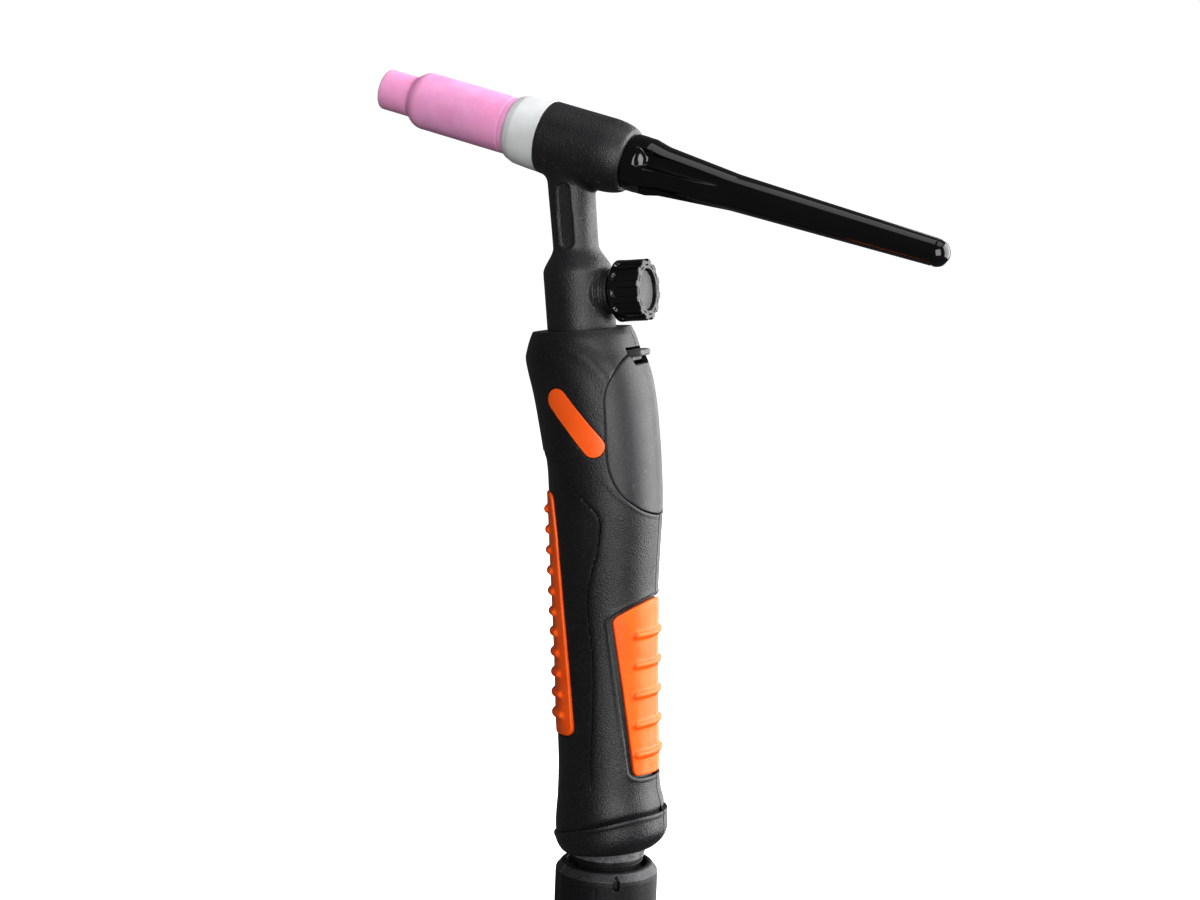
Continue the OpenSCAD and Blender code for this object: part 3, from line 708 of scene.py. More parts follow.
def handle_shell(side):
    """One half of the handle, from the housing's opening down to the mouth round the ball."""
    lengths = np.concatenate([[0], np.cumsum(np.hypot(np.diff(LOFT[:, 0]), np.diff(LOFT[:, 2])))])
    z_rows = np.interp(np.linspace(0, lengths[-1], SHELL_ROWS), lengths, LOFT[:, 0])
    seam = np.array([0, 0.012, 0.028]) * math.pi / 2
    first_middle = 0.045 * math.pi / 2
    middle = np.linspace(first_middle, math.pi - first_middle, SHELL_COLUMNS)
    angles = np.concatenate([seam, middle, math.pi - seam[::-1]]) * side

    relief = Relief(*np.meshgrid(angles, z_rows))
    from_seam = np.minimum(abs(relief.angle), math.pi - abs(relief.angle))
    seam_angle = relief.angle
    cut_lip(relief)
    cut_crease(relief)
    depth = cut_recesses(relief)
    tray = cut_cover(relief)
    screw_in = np.zeros(tray.shape, bool)
    if side > 0:
        _, screw_in, _ = relief.snap(screw_field)
        relief.level -= 3 * screw_in
    from_seam *= arc_scale(seam_angle, relief.z)
    relief.inset += 0.4 * np.clip(1 - from_seam / 0.3, 0, 1)

    outer = on_handle(relief.angle, relief.z, -np.where(depth >= 0, depth, relief.inset))
    floor_x = np.where(relief.z > 39, POCKET_X, TRAY_X)
    outer[..., 0] = np.where(tray, np.minimum(floor_x, outer[..., 0]), outer[..., 0])
    outer[..., 1] = np.where(screw_in, SCREW_HEAD_Y, outer[..., 1])
    outer = half_of(outer, side)

    # Rim that comes up out of the opening, and the top face from there to the form's first ring
    circle = np.stack([np.cos(angles), np.sin(angles), np.zeros(angles.shape)], -1)
    ring = half_of(OPENING_R * circle + [0, 0, TOP_Z], side)
    top = [ring - [0, 0, drop] for drop in (OPENING_DEPTH, 1.6, 0.35)]
    top += [ring + (outer[0] - ring) * t + [0, 0, 0.12 * math.sin(math.pi * t)]
            for t in (0.07, 0.25, 0.5, 0.75)]
    # Mouth round the ball
    last = outer[-1]
    mouth = half_of(MOUTH_R * circle + [BALL[0], 0, last[0, 2]], side)
    bottom = [last + (mouth - last) * 0.5] + [mouth + [0, 0, rise] for rise in (0, 0.6, 1.8, 3.0)]
    outer = np.concatenate([np.array(top), outer, np.array(bottom)])
    level = np.pad(relief.level, ((len(top), len(bottom)), (0, 0)))

    inner = shell_inside(side, angles[::4], (len(outer) - 1) // 4 + 1)
    points, faces = skin(outer, inner)
    faces = better_diagonals(faces, level.ravel().tolist(), outer.shape[0] * outer.shape[1])
    word = "right" if side > 0 else "left"
    return made(f"handle_{word}_shell", points, faces, HANDLE, "root",
                [f"handle_{word}"])


def patch(name, line, to_place, edge_r, thick, finish, body, nodes, rings):
    """A thin closed piece over a star-shaped outline, with rounded edges.

    to_place turns (across, z, depth under the surface) into points."""
    line = split_long(line, 0.5)
    centre = (line.max(0) + line.min(0)) / 2
    spread = np.linalg.norm(line - centre, axis=1)
    rows = []
    insets = edge_r * (1 - np.cos(np.linspace(0, math.pi / 2, 6)))
    drops = edge_r * (1 - np.sin(np.linspace(0, math.pi / 2, 6)))
    near = [(1 - inset / spread, drop) for inset, drop in zip(insets, drops)]
    inward = [(near[-1][0] * t, 0.0) for t in np.linspace(1, 0.02, rings)[1:]]
    for share, drop in near + inward:
        flat = centre + (line - centre) * np.reshape(share, (-1, 1))
        rows.append(to_place(flat[:, 0], flat[:, 1], drop))
    middle = to_place(centre[:1], centre[1:], np.zeros(1))
    back = []
    for share in (1.0, 0.85, 0.6, 0.35, 0.1):
        flat = centre + (line - centre) * share
        back.append(to_place(flat[:, 0], flat[:, 1], thick, True))
    count = len(line)
    stack = np.concatenate(back[::-1] + rows)
    faces = grid(len(back) + len(rows), count, True)
    points = np.concatenate([stack, middle, back[-1].mean(0)[None]])
    last = (len(back) + len(rows) - 1) * count
    faces += [[last + i, last + (i + 1) % count, len(stack)] for i in range(count)]
    faces += [[(i + 1) % count, i, len(stack) + 1] for i in range(count)]
    return made(name, points, faces, finish, body, nodes)


def cover_place(y, z, depth, back=False):
    """The cover's own surface above a point (y, z), at a depth along the form."""
    centre, deep, wide = loft(z)
    sine = np.clip(y / (wide - (depth if back else 0)), -0.999, 0.999)
    x = centre + (deep - depth) * np.sqrt(1 - sine ** 2)
    if back:
        x = np.maximum(x, 12.0)
    return np.stack([x, y + 0 * z, z], -1)


def cover_outline():
    """The cover's outline with its top cut square below the latch."""
    line = COVER_LINE[(abs(COVER_LINE[:, 0]) > POCKET_HALF) | (COVER_LINE[:, 1] < POCKET[0])]
    right = line[line[:, 0] > 0]
    left = line[line[:, 0] < 0]
    right = right[np.argsort(-right[:, 1])]
    left = left[np.argsort(left[:, 1])]
    notch = rounded([(-POCKET_HALF, 39.2, 0), (-POCKET_HALF, POCKET[0], 0.7), (POCKET_HALF, POCKET[0], 0.7),
                     (POCKET_HALF, 39.2, 0)], closed=False)
    return np.concatenate([right, left, notch])


def badge_place(side):
    def place(x, z, depth, back=False):
        centre, deep, wide = loft(z)
        cosine = np.clip((x - centre) / deep, -1, 1)
        y = side * (wide - 0.1 - depth) * np.sqrt(1 - cosine ** 2)
        return np.stack([centre + (deep - 0.1 - depth) * cosine, y, z], -1)
    return place


def badge(side):
    along = BADGE_ENDS[1] - BADGE_ENDS[0]
    along = along / np.linalg.norm(along)
    across = np.array((-along[1], along[0]))
    half_turn = np.linspace(-math.pi / 2, math.pi / 2, 25)[:, None]
    arc = BADGE_HALF * (np.cos(half_turn) * along + np.sin(half_turn) * across)
    caps = [BADGE_ENDS[1] + arc, BADGE_ENDS[0] - arc]
    word = "right" if side > 0 else "left"
    return patch(f"badge_{word}_plate", np.concatenate(caps), badge_place(side), 0.3, 0.8, BADGE, "root",
                 [f"badge_{word}"], rings=14)


def pad(side, word, line_z, edge_x, corner, seam_angle, proud, ribs, rib_r, rib_reach):
    """A soft pad from the seam to its side edge, with raised round-ended ribs.

    line_z gives the top and bottom edge at an angle, edge_x the side edge at a height."""
    ends = np.array([0, 0, 0.05, 0.15, 0.3, 0.5, 0.75, 1.1, 1.5, 2.0, 2.5])
    cell = 0.32

    def spaced(length, fine_start):
        inner = length - ends[-1] * (2 if fine_start else 1)
        steps = int(inner / cell) // 4 * 4
        first = ends if fine_start else ends[:1]
        count = len(first) + len(ends) + steps - 1
        steps += (4 - (count - 1) % 4) % 4
        middle = np.linspace(first[-1], length - ends[-1], steps + 1)[1:-1]
        return np.concatenate([first, middle, length - ends[::-1]]) / length

    tall = abs(line_z(np.array(seam_angle + 0.4))[0] - line_z(np.array(seam_angle + 0.4))[1])
    t = spaced(float(tall), True)
    width = float(abs(angle_at_x(edge_x(np.array(-60.0)), np.array(-60.0)) - seam_angle) * 16)
    s = spaced(width, False)
    across, down = np.meshgrid(s, t)
    z = np.full(across.shape, -60.0)
    for _ in range(6):
        edge = angle_at_x(edge_x(z), z)
        from_end = np.minimum(down, 1 - down) * tall
        pull = corner - np.sqrt(np.maximum(corner ** 2 - np.maximum(corner - from_end, 0) ** 2, 0))
        reach = (edge - seam_angle) * (1 - pull / width)
        angle = seam_angle + across * reach
        high, low = line_z(angle)
        z = high + (low - high) * down

    arc = (angle - seam_angle) * arc_scale(angle, z) * (1 if seam_angle == 0 else -1)
    flat = np.stack([arc, z], -1)
    border = np.concatenate([flat[0], flat[:, -1], flat[-1][::-1]])
    gap = outline_distance(arc, z, border, False)
    round_r = 0.55
    from_round = np.maximum(round_r - gap, 0)
    height = proud - round_r + np.sqrt(np.maximum(round_r ** 2 - from_round ** 2, 0))
    height += 0.12 * smooth(0.5, 5, gap)
    for rib_z in ribs:
        beyond = np.maximum(arc - rib_reach(rib_z), 0)
        away = np.hypot(z - rib_z, beyond)
        bead = np.sqrt(np.maximum(rib_r ** 2 - away ** 2, 0))
        foot = 0.22 * np.exp(-(np.maximum(away - rib_r * 0.9, 0) / 0.5) ** 2)
        height += np.maximum(bead, foot) * 0.95
    height -= 0.22 * np.clip(1 - arc / 0.35, 0, 1)

    deep = 0.1 - RECESS
    height[:, 0] = height[:, 1]
    outer_height = height.copy()
    outer_height[0] = outer_height[-1] = deep
    outer_height[:, -1] = deep
    outer = half_of(on_handle(side * angle, z, outer_height), side)
    inner = half_of(on_handle(side * angle[::4, ::4], z[::4, ::4], deep - 0.001), side)
    skin_points, faces = skin(outer, inner)
    name = f"{word}_pad_{'right' if side > 0 else 'left'}"
    return made(f"{name}_grip", skin_points, faces, PAD, "root", [name], sharp=50)


def rear_pad(side):
    def line_z(angle):
        x = on_handle(angle, np.full(np.shape(angle), -42.0))[..., 0]
        low_x = on_handle(angle, np.full(np.shape(angle), -98.0))[..., 0]
        return -45.0 + (np.minimum(x, 20) - 9.2) * 0.5, -97.4 - (low_x - 11.1) * 0.12

    def edge_x(z):
        return np.interp(-z, (45.2, 68, 97.4), (9.2, 10.3, 11.3))

    def rib_reach(z):
        return float(35 / 180 * math.pi * 15.6)
    ribs = [-51.2 - 9.85 * i for i in range(5)]
    return pad(side, "rear", line_z, edge_x, 1.8, 0.0, 0.3, ribs, 1.15, rib_reach)


def front_pad(side):
    def line_z(angle):
        return np.full(np.shape(angle), -3.6), np.full(np.shape(angle), -83.7)

    def edge_x(z):
        return np.interp(-z, (3.5, 18, 42, 68, 83.8), (-10.2, -8.9, -8.5, -7.8, -7.6))

    def rib_reach(z):
        return float((math.pi - angle_at_x(np.array(edge_x(z)), np.array(z))) * 16 - 4.2)
    ribs = [-9.4 - 6.76 * i for i in range(11)]
    return pad(side, "front", line_z, edge_x, 3.0, math.pi, 0.3, ribs, 1.25, rib_reach)


def latch():
    """The cover's spring latch: a tab with rounded edges on a short root."""
    low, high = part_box("cover_latch")
    (x0, _, z0), (x1, half, z1) = [[c / MM for c in corner] for corner in (low, high)]
    x1 -= 1.4
    step_z = 38.9
    side_line = rounded([(x0, z0, 0.3), (x0 + 2.1, z0, 0.3), (x0 + 2.1, step_z, 0.5),
                         (x1 - 0.5, step_z, 0.5), (x1, step_z + 0.6, 0.5), (x1, z1 - 0.3, 0.6),
                         (x1 - 1.6, z1, 1.2), (x0, z1, 0.4)])
    rows = []
    bevel = 0.45
    for inset, y in ((0.45, -half), (0.12, -half + 0.12), (0.0, -half + bevel), (0.0, -half * 0.5), (0, 0),
                     (0.0, half * 0.5), (0.0, half - bevel), (0.12, half - 0.12), (0.45, half)):
        centre = side_line.mean(0)
        toward = side_line - centre
        shrunk = centre + toward * (1 - inset / np.maximum(np.linalg.norm(toward, axis=1), 1))[:, None]
        rows.append(np.stack([shrunk[:, 0], np.full(len(shrunk), y), shrunk[:, 1]], -1))
    count = len(side_line)
    faces = grid(len(rows), count, True)
    faces += [list(range(count))[::-1], list(range((len(rows) - 1) * count, len(rows) * count))]
    return made("cover_latch_tab", np.concatenate(rows), faces, LATCH, "cover_latch",
                ["cover_latch"], sharp=60)


def screws():
    """Three cross-recessed screws, joined in one piece as the CAD node is."""
    profile = rounded([(0.0, -8.0, 0), (0.6, -8, 0), (1.25, -6.8, 0.2), (1.25, 9.6, 0), (2.4, 9.6, 0.1),
                       (2.4, 10.9, 0.5), (1.9, 11.6, 0.4), (0.0, 11.6, 0)], closed=False)
    profile = split_long(profile, 0.25, closed=False)
    segments = 96

    def cross(radius, height, angle):
        arm = np.minimum(abs(radius * np.cos(angle)), abs(radius * np.sin(angle)))
        depth = np.where((arm < 0.36) & (radius < 1.6), 1.0, 0.0) * smooth(11.3, 11.5, height)
        return radius, height - depth
    points, faces = turned(profile, segments, cross)
    all_points, all_faces = [], []
    for x, z in SCREWS:
        start = sum(len(p) for p in all_points)
        turned_points = np.stack([points[:, 0] + x, points[:, 2], z - points[:, 1]], -1)
        all_points.append(turned_points)
        all_faces += [[i + start for i in face] for face in faces[:-segments]]
    return made("shell_screws", np.concatenate(all_points), all_faces, STEEL, "root",
                ["handle_screws"])


# ---------------------------------------------------------------------------------------------
# Head, neck and valve housing: one moulding, drawn as a distance field and meshed
# ---------------------------------------------------------------------------------------------

HEAD = (0.0, 0.0, 108.7)
HEAD_ANGLE = 109.5
VALVE = (0.0, 0.0, 60.0)
BARREL_R = 11.9
BARREL = (-7.2, 22.7)
# The barrel's rounded rear: where it starts, how long it is and how much the radius loses
BARREL_REAR = (13.5, 9.9, 3.4)
BARREL_BORE_R = 7.75
NECK_R = 7.4
HOUSING_R = 11.2
SHOULDER = (67.0, 75.5)
HOUSING_LOW = 41
# Bores: the housing's radius and top, and the radius of the neck's and the valve's
HOUSING_BORE = (8.15, 69.3)
NECK_BORE_R = 3.3
VALVE_BORE_R = 4.4
# Stepped rings behind the knob: radius and how far along X each one reaches
GLAND_RINGS = ((5.3, 13.0), (8.8, 8.8), (8.0, 10.4), (7.2, 12.2))
# Long window in each side of the neck: middle height, half length without its ends, half width, floor
WINDOW = (85.4, 8.1, 2.45, 6.3)


def blend_min(a, b, radius):
    """Union with a fillet."""
    h = np.maximum(radius - abs(a - b), 0) / radius
    return np.minimum(a, b) - h * h * radius / 4


def blend_max(a, b, radius):
    """Intersection with a rounded edge."""
    return -blend_min(-a, -b, radius)


def body_field(p):
    """Distance outside the moulding: barrel, neck, housing and boss, less their bores and windows."""
    x, y, z = p[..., 0], p[..., 1], p[..., 2]
    a = math.radians(HEAD_ANGLE)
    along = x * math.sin(a) + (z - HEAD[2]) * math.cos(a)
    across = x * math.cos(a) - (z - HEAD[2]) * math.sin(a)
    ring = np.hypot(across, y)
    rear_start, rear_length, loss = BARREL_REAR
    t = np.clip((along - rear_start) / rear_length, 0, 1)
    barrel_r = BARREL_R - loss * (1 - np.sqrt(1 - t * t))
    barrel = blend_max(ring - barrel_r, BARREL[0] - along, 0.5)
    barrel = blend_max(barrel, along - BARREL[1], 1.2)

    around = np.hypot(x, y)
    rise = smooth(*SHOULDER, z)
    neck_r = HOUSING_R + (NECK_R - HOUSING_R) * rise + 0.25 * smooth(75, 100, z)
    neck = blend_max(around - neck_r, z - HEAD[2], 0.2)
    stem = np.hypot(y, z - VALVE[2])
    boss = np.full(x.shape, 40.0)
    for ring_r, ring_x in GLAND_RINGS:
        boss = np.minimum(boss, blend_max(stem - ring_r, x - ring_x, 0.5))
    body = blend_min(neck, np.maximum(boss, -x), 0.5)
    body = blend_max(body, HOUSING_LOW - z, 0.5)
    body = blend_min(body, barrel, 2.6)

    barrel_bore = np.maximum(abs(along - sum(BARREL) / 2) - 20, ring - BARREL_BORE_R)
    body = np.maximum(body, -barrel_bore)
    body = blend_max(body, -np.maximum(around - HOUSING_BORE[0], z - HOUSING_BORE[1]), 0.3)
    body = np.maximum(body, -np.maximum(around - NECK_BORE_R, z - HEAD[2]))
    body = np.maximum(body, -np.maximum(stem - VALVE_BORE_R, -x))
    middle, half_length, half_width, floor_y = WINDOW
    slot = np.hypot(x, np.maximum(abs(z - middle) - half_length, 0)) - half_width
    return blend_max(body, -np.maximum(slot, floor_y - abs(y)), 0.35)


def surface_net(field, low, high, cell):
    """Closed quads over field = 0 inside a box, drawn on to the surface in a few steps."""
    axes = [np.arange(low[i], high[i] + cell, cell) for i in range(3)]
    value = field(np.stack(np.meshgrid(*axes, indexing="ij"), -1))
    inside = value < 0
    shape = np.array(value.shape) - 1
    total = np.zeros(shape, int)
    for i in (0, 1):
        for j in (0, 1):
            for k in (0, 1):
                total += inside[i:shape[0] + i, j:shape[1] + j, k:shape[2] + k]
    active = (total > 0) & (total < 8)
    number = np.full(shape, -1)
    number[active] = np.arange(active.sum())
    points = (np.argwhere(active) + 0.5) * cell + [axis[0] for axis in axes]
    quads = []
    for axis in range(3):
        u, v = [k for k in range(3) if k != axis]
        first = np.moveaxis(inside, (axis, u, v), (0, 1, 2))
        cells = np.moveaxis(number, (axis, u, v), (0, 1, 2))
        change = first[:-1, 1:-1, 1:-1] != first[1:, 1:-1, 1:-1]
        i, j, k = np.argwhere(change).T
        hollow_shade = (cells[i, j + dj, k + dk] for dj, dk in ((0, 0), (1, 0), (1, 1), (0, 1)))
        quads.append(np.stack(list(hollow_shade), -1))
    quads = np.concatenate(quads)

    def settle(where):
        step = 0.03
        value = field(where)
        slope = np.stack([field(where + offset) - field(where - offset)
                          for offset in np.eye(3) * step], -1) / (2 * step)
        size = np.maximum((slope ** 2).sum(-1, keepdims=True), 0.2)
        return where - np.clip(value[:, None] * slope / size, -cell, cell)

    pairs = np.concatenate([quads[:, [a, b]] for a, b in ((0, 1), (1, 2), (2, 3), (3, 0))])
    for _ in range(3):
        near = np.zeros(points.shape)
        weight = np.zeros(len(points))
        for a, b in ((0, 1), (1, 0)):
            np.add.at(near, pairs[:, a], points[pairs[:, b]])
            np.add.at(weight, pairs[:, a], 1)
        points = settle(settle(points + 0.5 * (near / weight[:, None] - points)))
    return settle(points), quads.tolist()


def torch_body():
    """The one moulding of barrel, neck and valve housing."""
    points, faces = surface_net(body_field, (-12.6, -12.6, 40.2), (27.5, 12.6, 123.5), 0.4)
    return made("torch_head_moulding", points, faces, BODY, "root", ["torch_body"], sharp=60)


# ---------------------------------------------------------------------------------------------
# Round parts
# ---------------------------------------------------------------------------------------------

GASKET_LEN = 12.6
CUP_LEN = 48.3
CUP_R = 9.4
CUP_TIP_R = 6.7
CUP_HOLE_R = 3.2
GASKET_FRONT = BARREL[0] - GASKET_LEN
CUP_FRONT = GASKET_FRONT - CUP_LEN

# Where each axis starts, how far +Z is turned about Y to lie along it, and whether it runs downwards
HEAD_AXIS = (HEAD, HEAD_ANGLE, False)
VALVE_AXIS = (VALVE, 90, False)
NUT_TILT = 6.9
KNUCKLE_AXIS = (BALL, NUT_TILT, True)


def round_part(name, axis, profile, segments, finish, body, nodes, shape=None, sharp=35):
    """A piece turned about one of the torch's axes."""
    points, faces = turned(profile, segments, shape)
    return made(name, placed(points, *axis), faces, finish, body, nodes, sharp)


def cup():
    """The ceramic cup: narrow tip, round shoulder, and a fine groove near its base."""
    base = GASKET_FRONT - 0.1
    line = rounded([
        (CUP_HOLE_R, CUP_FRONT, 0.3), (CUP_TIP_R, CUP_FRONT, 0.5), (CUP_TIP_R, CUP_FRONT + 10.9, 1.6),
        (CUP_R, CUP_FRONT + 14.2, 5.0), (CUP_R, base - 2.2, 0.06), (CUP_R - 0.22, base - 2.0, 0.06),
        (CUP_R - 0.22, base - 1.75, 0.06), (CUP_R, base - 1.55, 0.06), (CUP_R, base, 0.3),
        (5.46, base, 0.2), (5.46, base - 8, 0.2), (7.2, base - 10, 0.4), (7.2, CUP_FRONT + 17.7, 1.0),
        (CUP_HOLE_R, CUP_FRONT + 11.7, 1.0)], steps=10)
    return round_part("ceramic_cup", HEAD_AXIS, split_long(line, 0.9), 160, CUP, "cup", ["cup"])


def gasket():
    """The white insulator ring that swells from the cup to the barrel."""
    front, back = GASKET_FRONT, BARREL[0] - 0.1
    line = rounded([
        (6.1, front, 0.2), (CUP_R - 0.3, front, 0.25), (CUP_R + 0.9, front + 0.6, 0.8),
        (CUP_R + 1.9, front + 3.2, 3.0), (BARREL_R - 0.25, front + 8.0, 6.0), (BARREL_R - 0.1, back, 0.35),
        (6.1, back, 0.2)], steps=10)
    return round_part("cup_gasket_ring", HEAD_AXIS, split_long(line, 0.7), 160, GASKET, "gasket",
                      ["cup_gasket"])


CAP_LEN = 109.3
CAP_START = BARREL[1]
CAP_END = CAP_START + CAP_LEN
CAP_R = 9.2
CAP_TIP_R = 4.4
CAP_FLUTES = 4
FLUTE_TURN = 69
FLUTE_START = CAP_START + 4
FLUTE_R = 3.0


def ridge_radius(height):
    """The cap's outside: collar, ridges that thin out towards the waist, and a plain taper."""
    line = rounded([(CAP_START, CAP_R, 0), (CAP_START + 7.2, CAP_R, 4), (CAP_START + 12, CAP_R - 1.2, 9),
                    (CAP_START + 25, CAP_R - 2.3, 30), (CAP_START + 37, 5.9, 20),
                    (CAP_END - CAP_TIP_R, CAP_TIP_R, 0)], steps=10, closed=False)
    return np.interp(height, line[:, 0], line[:, 1])


def back_cap():
    """The long cap: collar, four deep flutes that run out at the waist, and a domed end with a fine step."""
    collar_rows = 8
    soft_start = np.linspace(FLUTE_START - 0.3, FLUTE_START + 3.8, 22)
    dome_z = CAP_END - CAP_TIP_R
    outer_z = np.concatenate([
        np.linspace(CAP_START + 0.85, FLUTE_START - 0.3, collar_rows), soft_start,
        np.linspace(FLUTE_START + 4.1, CAP_START + 44, 90), np.linspace(CAP_START + 45, dome_z - 0.6, 70)])
    collar = [(CAP_R - 0.7, CAP_START + 0.1), (CAP_R - 0.42, CAP_START + 0.16),
              (CAP_R - 0.2, CAP_START + 0.32), (CAP_R - 0.05, CAP_START + 0.55)]
    body = list(zip(ridge_radius(outer_z), outer_z))
    step = [(CAP_TIP_R + 0.02, dome_z - 0.45), (CAP_TIP_R - 0.16, dome_z - 0.4),
            (CAP_TIP_R - 0.16, dome_z - 0.2)]
    dome = [(CAP_TIP_R * math.cos(a), dome_z + CAP_TIP_R * math.sin(a))
            for a in np.linspace(0, math.pi / 2, 24)[:-1]]
    inner = [(0.0, CAP_END), (0.0, CAP_END - 4), (2.0, CAP_END - 4), (2.0, CAP_START + 8),
             (5.0, CAP_START + 8), (5.0, CAP_START + 0.1)]
    line = np.array(collar + body + step + dome + inner)

    # Columns follow the edge of each flute, so that the edge stays one clean line
    sector = math.pi / CAP_FLUTES
    radius, height = line.T
    centre = CAP_R - 0.5 + 0.004 * np.clip(height - FLUTE_START, 0, 60)
    cosine = (radius ** 2 + centre ** 2 - FLUTE_R ** 2) / (2 * np.maximum(radius, 0.1) * centre)
    widest = np.arcsin(FLUTE_R / centre)
    edge = np.minimum(np.arccos(np.clip(cosine, -1, 1)), widest)
    plain = 0.12
    edge[(cosine >= 1) | (radius <= 5)] = plain
    edge[height < FLUTE_START] = edge[len(collar) + collar_rows]
    edge[radius < 5] = plain
    inside = edge[:, None] * np.array([0, 0.12, 0.25, 0.37, 0.5, 0.62, 0.73, 0.82, 0.89, 0.94, 0.975])
    outside = edge[:, None] + (sector - edge[:, None]) * np.array(
        [0, 0.01, 0.022, 0.04, 0.08, 0.15, 0.27, 0.4, 0.55, 0.7, 0.85])
    half = np.concatenate([inside, outside], 1)
    both = np.concatenate([half, 2 * sector - half[:, :0:-1]], 1)
    both = np.insert(both, half.shape[1], sector, 1)
    off = np.minimum(both, 2 * sector - both)
    sine = centre[:, None] * np.sin(off)
    cutter = centre[:, None] * np.cos(off) - np.sqrt(np.maximum(FLUTE_R ** 2 - sine ** 2, 0))
    cutter += np.maximum(sine - FLUTE_R, 0) * 8
    ridge = np.repeat(radius[:, None], both.shape[1], 1)
    cut = blend_min(ridge, cutter, 0.3)
    amount = smooth(soft_start[0], soft_start[-1], height)[:, None]
    on_body = np.arange(len(line)) < len(collar) + len(body)
    fluted = ((height < dome_z - 0.5) & (radius > 4.3) & on_body)[:, None]
    shaped = np.where(fluted, ridge + (cut - ridge) * amount, ridge)
    angle = np.concatenate([both + 2 * sector * k for k in range(CAP_FLUTES)], 1) + math.radians(FLUTE_TURN)
    shaped = np.tile(shaped, (1, CAP_FLUTES))
    rise = np.repeat(height[:, None], angle.shape[1], 1)
    points = np.stack([shaped * np.cos(angle), shaped * np.sin(angle), rise], -1).reshape(-1, 3)
    return made("long_back_cap", placed(points, *HEAD_AXIS), grid(len(line), angle.shape[1], True, True), CAP,
                "back_cap", ["back_cap"], sharp=70)


KNOB_BACK = 14.0
KNOB_FRONT = 24.3
KNOB_R = 10.0
KNOB_FLUTES = 12
KNOB_RECESS = 1.3
DISC_DEPTH = 1.05


def knob_flutes(depth, start=None):
    """A shape for turned() that cuts flutes into the knob's rim, with a round end at a height start."""
    def flutes(radius, height, angle):
        pitch = TURN / KNOB_FLUTES
        offset = ((angle + pitch / 2) % pitch - pitch / 2) * KNOB_R
        before = 0 if start is None else np.maximum(start - height, 0)
        dip = depth * smooth(1.8, 1.2, np.hypot(offset, before))
        return np.where(radius > 8.2, radius - dip, radius), height
    return flutes


def knob():
    """The gas knob's black skirt with round-ended flutes, and the recess for its disc."""
    back, front, floor = KNOB_BACK, KNOB_FRONT, KNOB_FRONT - KNOB_RECESS
    line = rounded([
        (2.6, back, 0.1), (9.3, back, 0.3), (KNOB_R, back + 0.5, 0.4), (KNOB_R, front - 0.15, 0.1),
        (KNOB_R - 0.2, front, 0.1), (6.75, front, 0.2), (6.7, floor, 0.1), (4.6, floor, 0.1),
        (4.6, 21.2, 0.1), (2.7, 21.2, 0.1), (2.7, 15.8, 0.1)], steps=4)
    return round_part("gas_knob_skirt", VALVE_AXIS, split_long(line, 0.25), 480, KNOB, "valve",
                      ["valve_knob"], knob_flutes(0.8, back + 2.9), sharp=40)


def knob_face():
    """The grey disc, which lies in the knob's recess."""
    face, low = KNOB_FRONT - DISC_DEPTH, KNOB_FRONT - KNOB_RECESS
    disc = rounded([(0.0, low, 0), (6.45, low, 0.05), (6.45, face - 0.1, 0.08), (6.3, face, 0.08),
                    (0.0, face, 0)], steps=4, closed=False)
    segments = 128
    points, faces = turned(split_long(disc, 0.5, closed=False), segments)
    return made("gas_knob_disc", placed(points, *VALVE_AXIS), faces[:-segments], KNOB_FACE, "valve",
                ["knob_disc"])


def knob_ring():
    """The grey ring on the knob's front, which follows the flutes."""
    front = KNOB_FRONT
    line = rounded([(6.85, front - 0.15, 0), (9.75, front - 0.15, 0.0), (9.8, front, 0.08),
                    (9.7, front + 0.12, 0.08), (6.95, front + 0.12, 0.1), (6.85, front, 0.08)], steps=4)
    return round_part("gas_knob_ring", VALVE_AXIS, split_long(line, 0.3), 480, KNOB_FACE, "valve",
                      [], knob_flutes(0.75), sharp=50)


NUT_R = 17.0
NUT_LEN = 42.0
NUT_TOP = 9.6
NUT_END = NUT_TOP + NUT_LEN
SPIGOT_R = 14.2
SPIGOT_LEN = 12.0
NECK_OUT_R = 10.9
BORE_R = 9.0
COLLAR_END = 6.6
THREAD_PITCH = 2.0
THREAD_DEPTH = 0.45
NOTCH_ANGLE = -55.4
# The mark's start and end below the nut's top, and its widest half width
NOTCH = (NUT_TOP + 0.1, NUT_TOP + 4.9)
NOTCH_HALF = 1.05
PANEL_ANGLE = 96


def knuckle():
    """The ball and its grey collar."""
    arc = np.linspace(math.radians(27.5), -math.radians(8), 36)[1:]
    ball = [(BALL_R * math.cos(a), -BALL_R * math.sin(a)) for a in arc]
    tail = rounded([(14.7, 2.3, 0), (12.8, 2.4, 0.2), (12.4, COLLAR_END - 0.2, 0.3),
                    (BORE_R, COLLAR_END, 0.2)], steps=4, closed=False)
    line = np.array([(BORE_R, -3.0), (14.4, -7.0)] + ball + list(map(tuple, tail)))
    return round_part("knuckle_joint", KNUCKLE_AXIS, split_long(line, 0.22), 180, KNUCKLE, "knuckle",
                      ["knuckle_ball"])


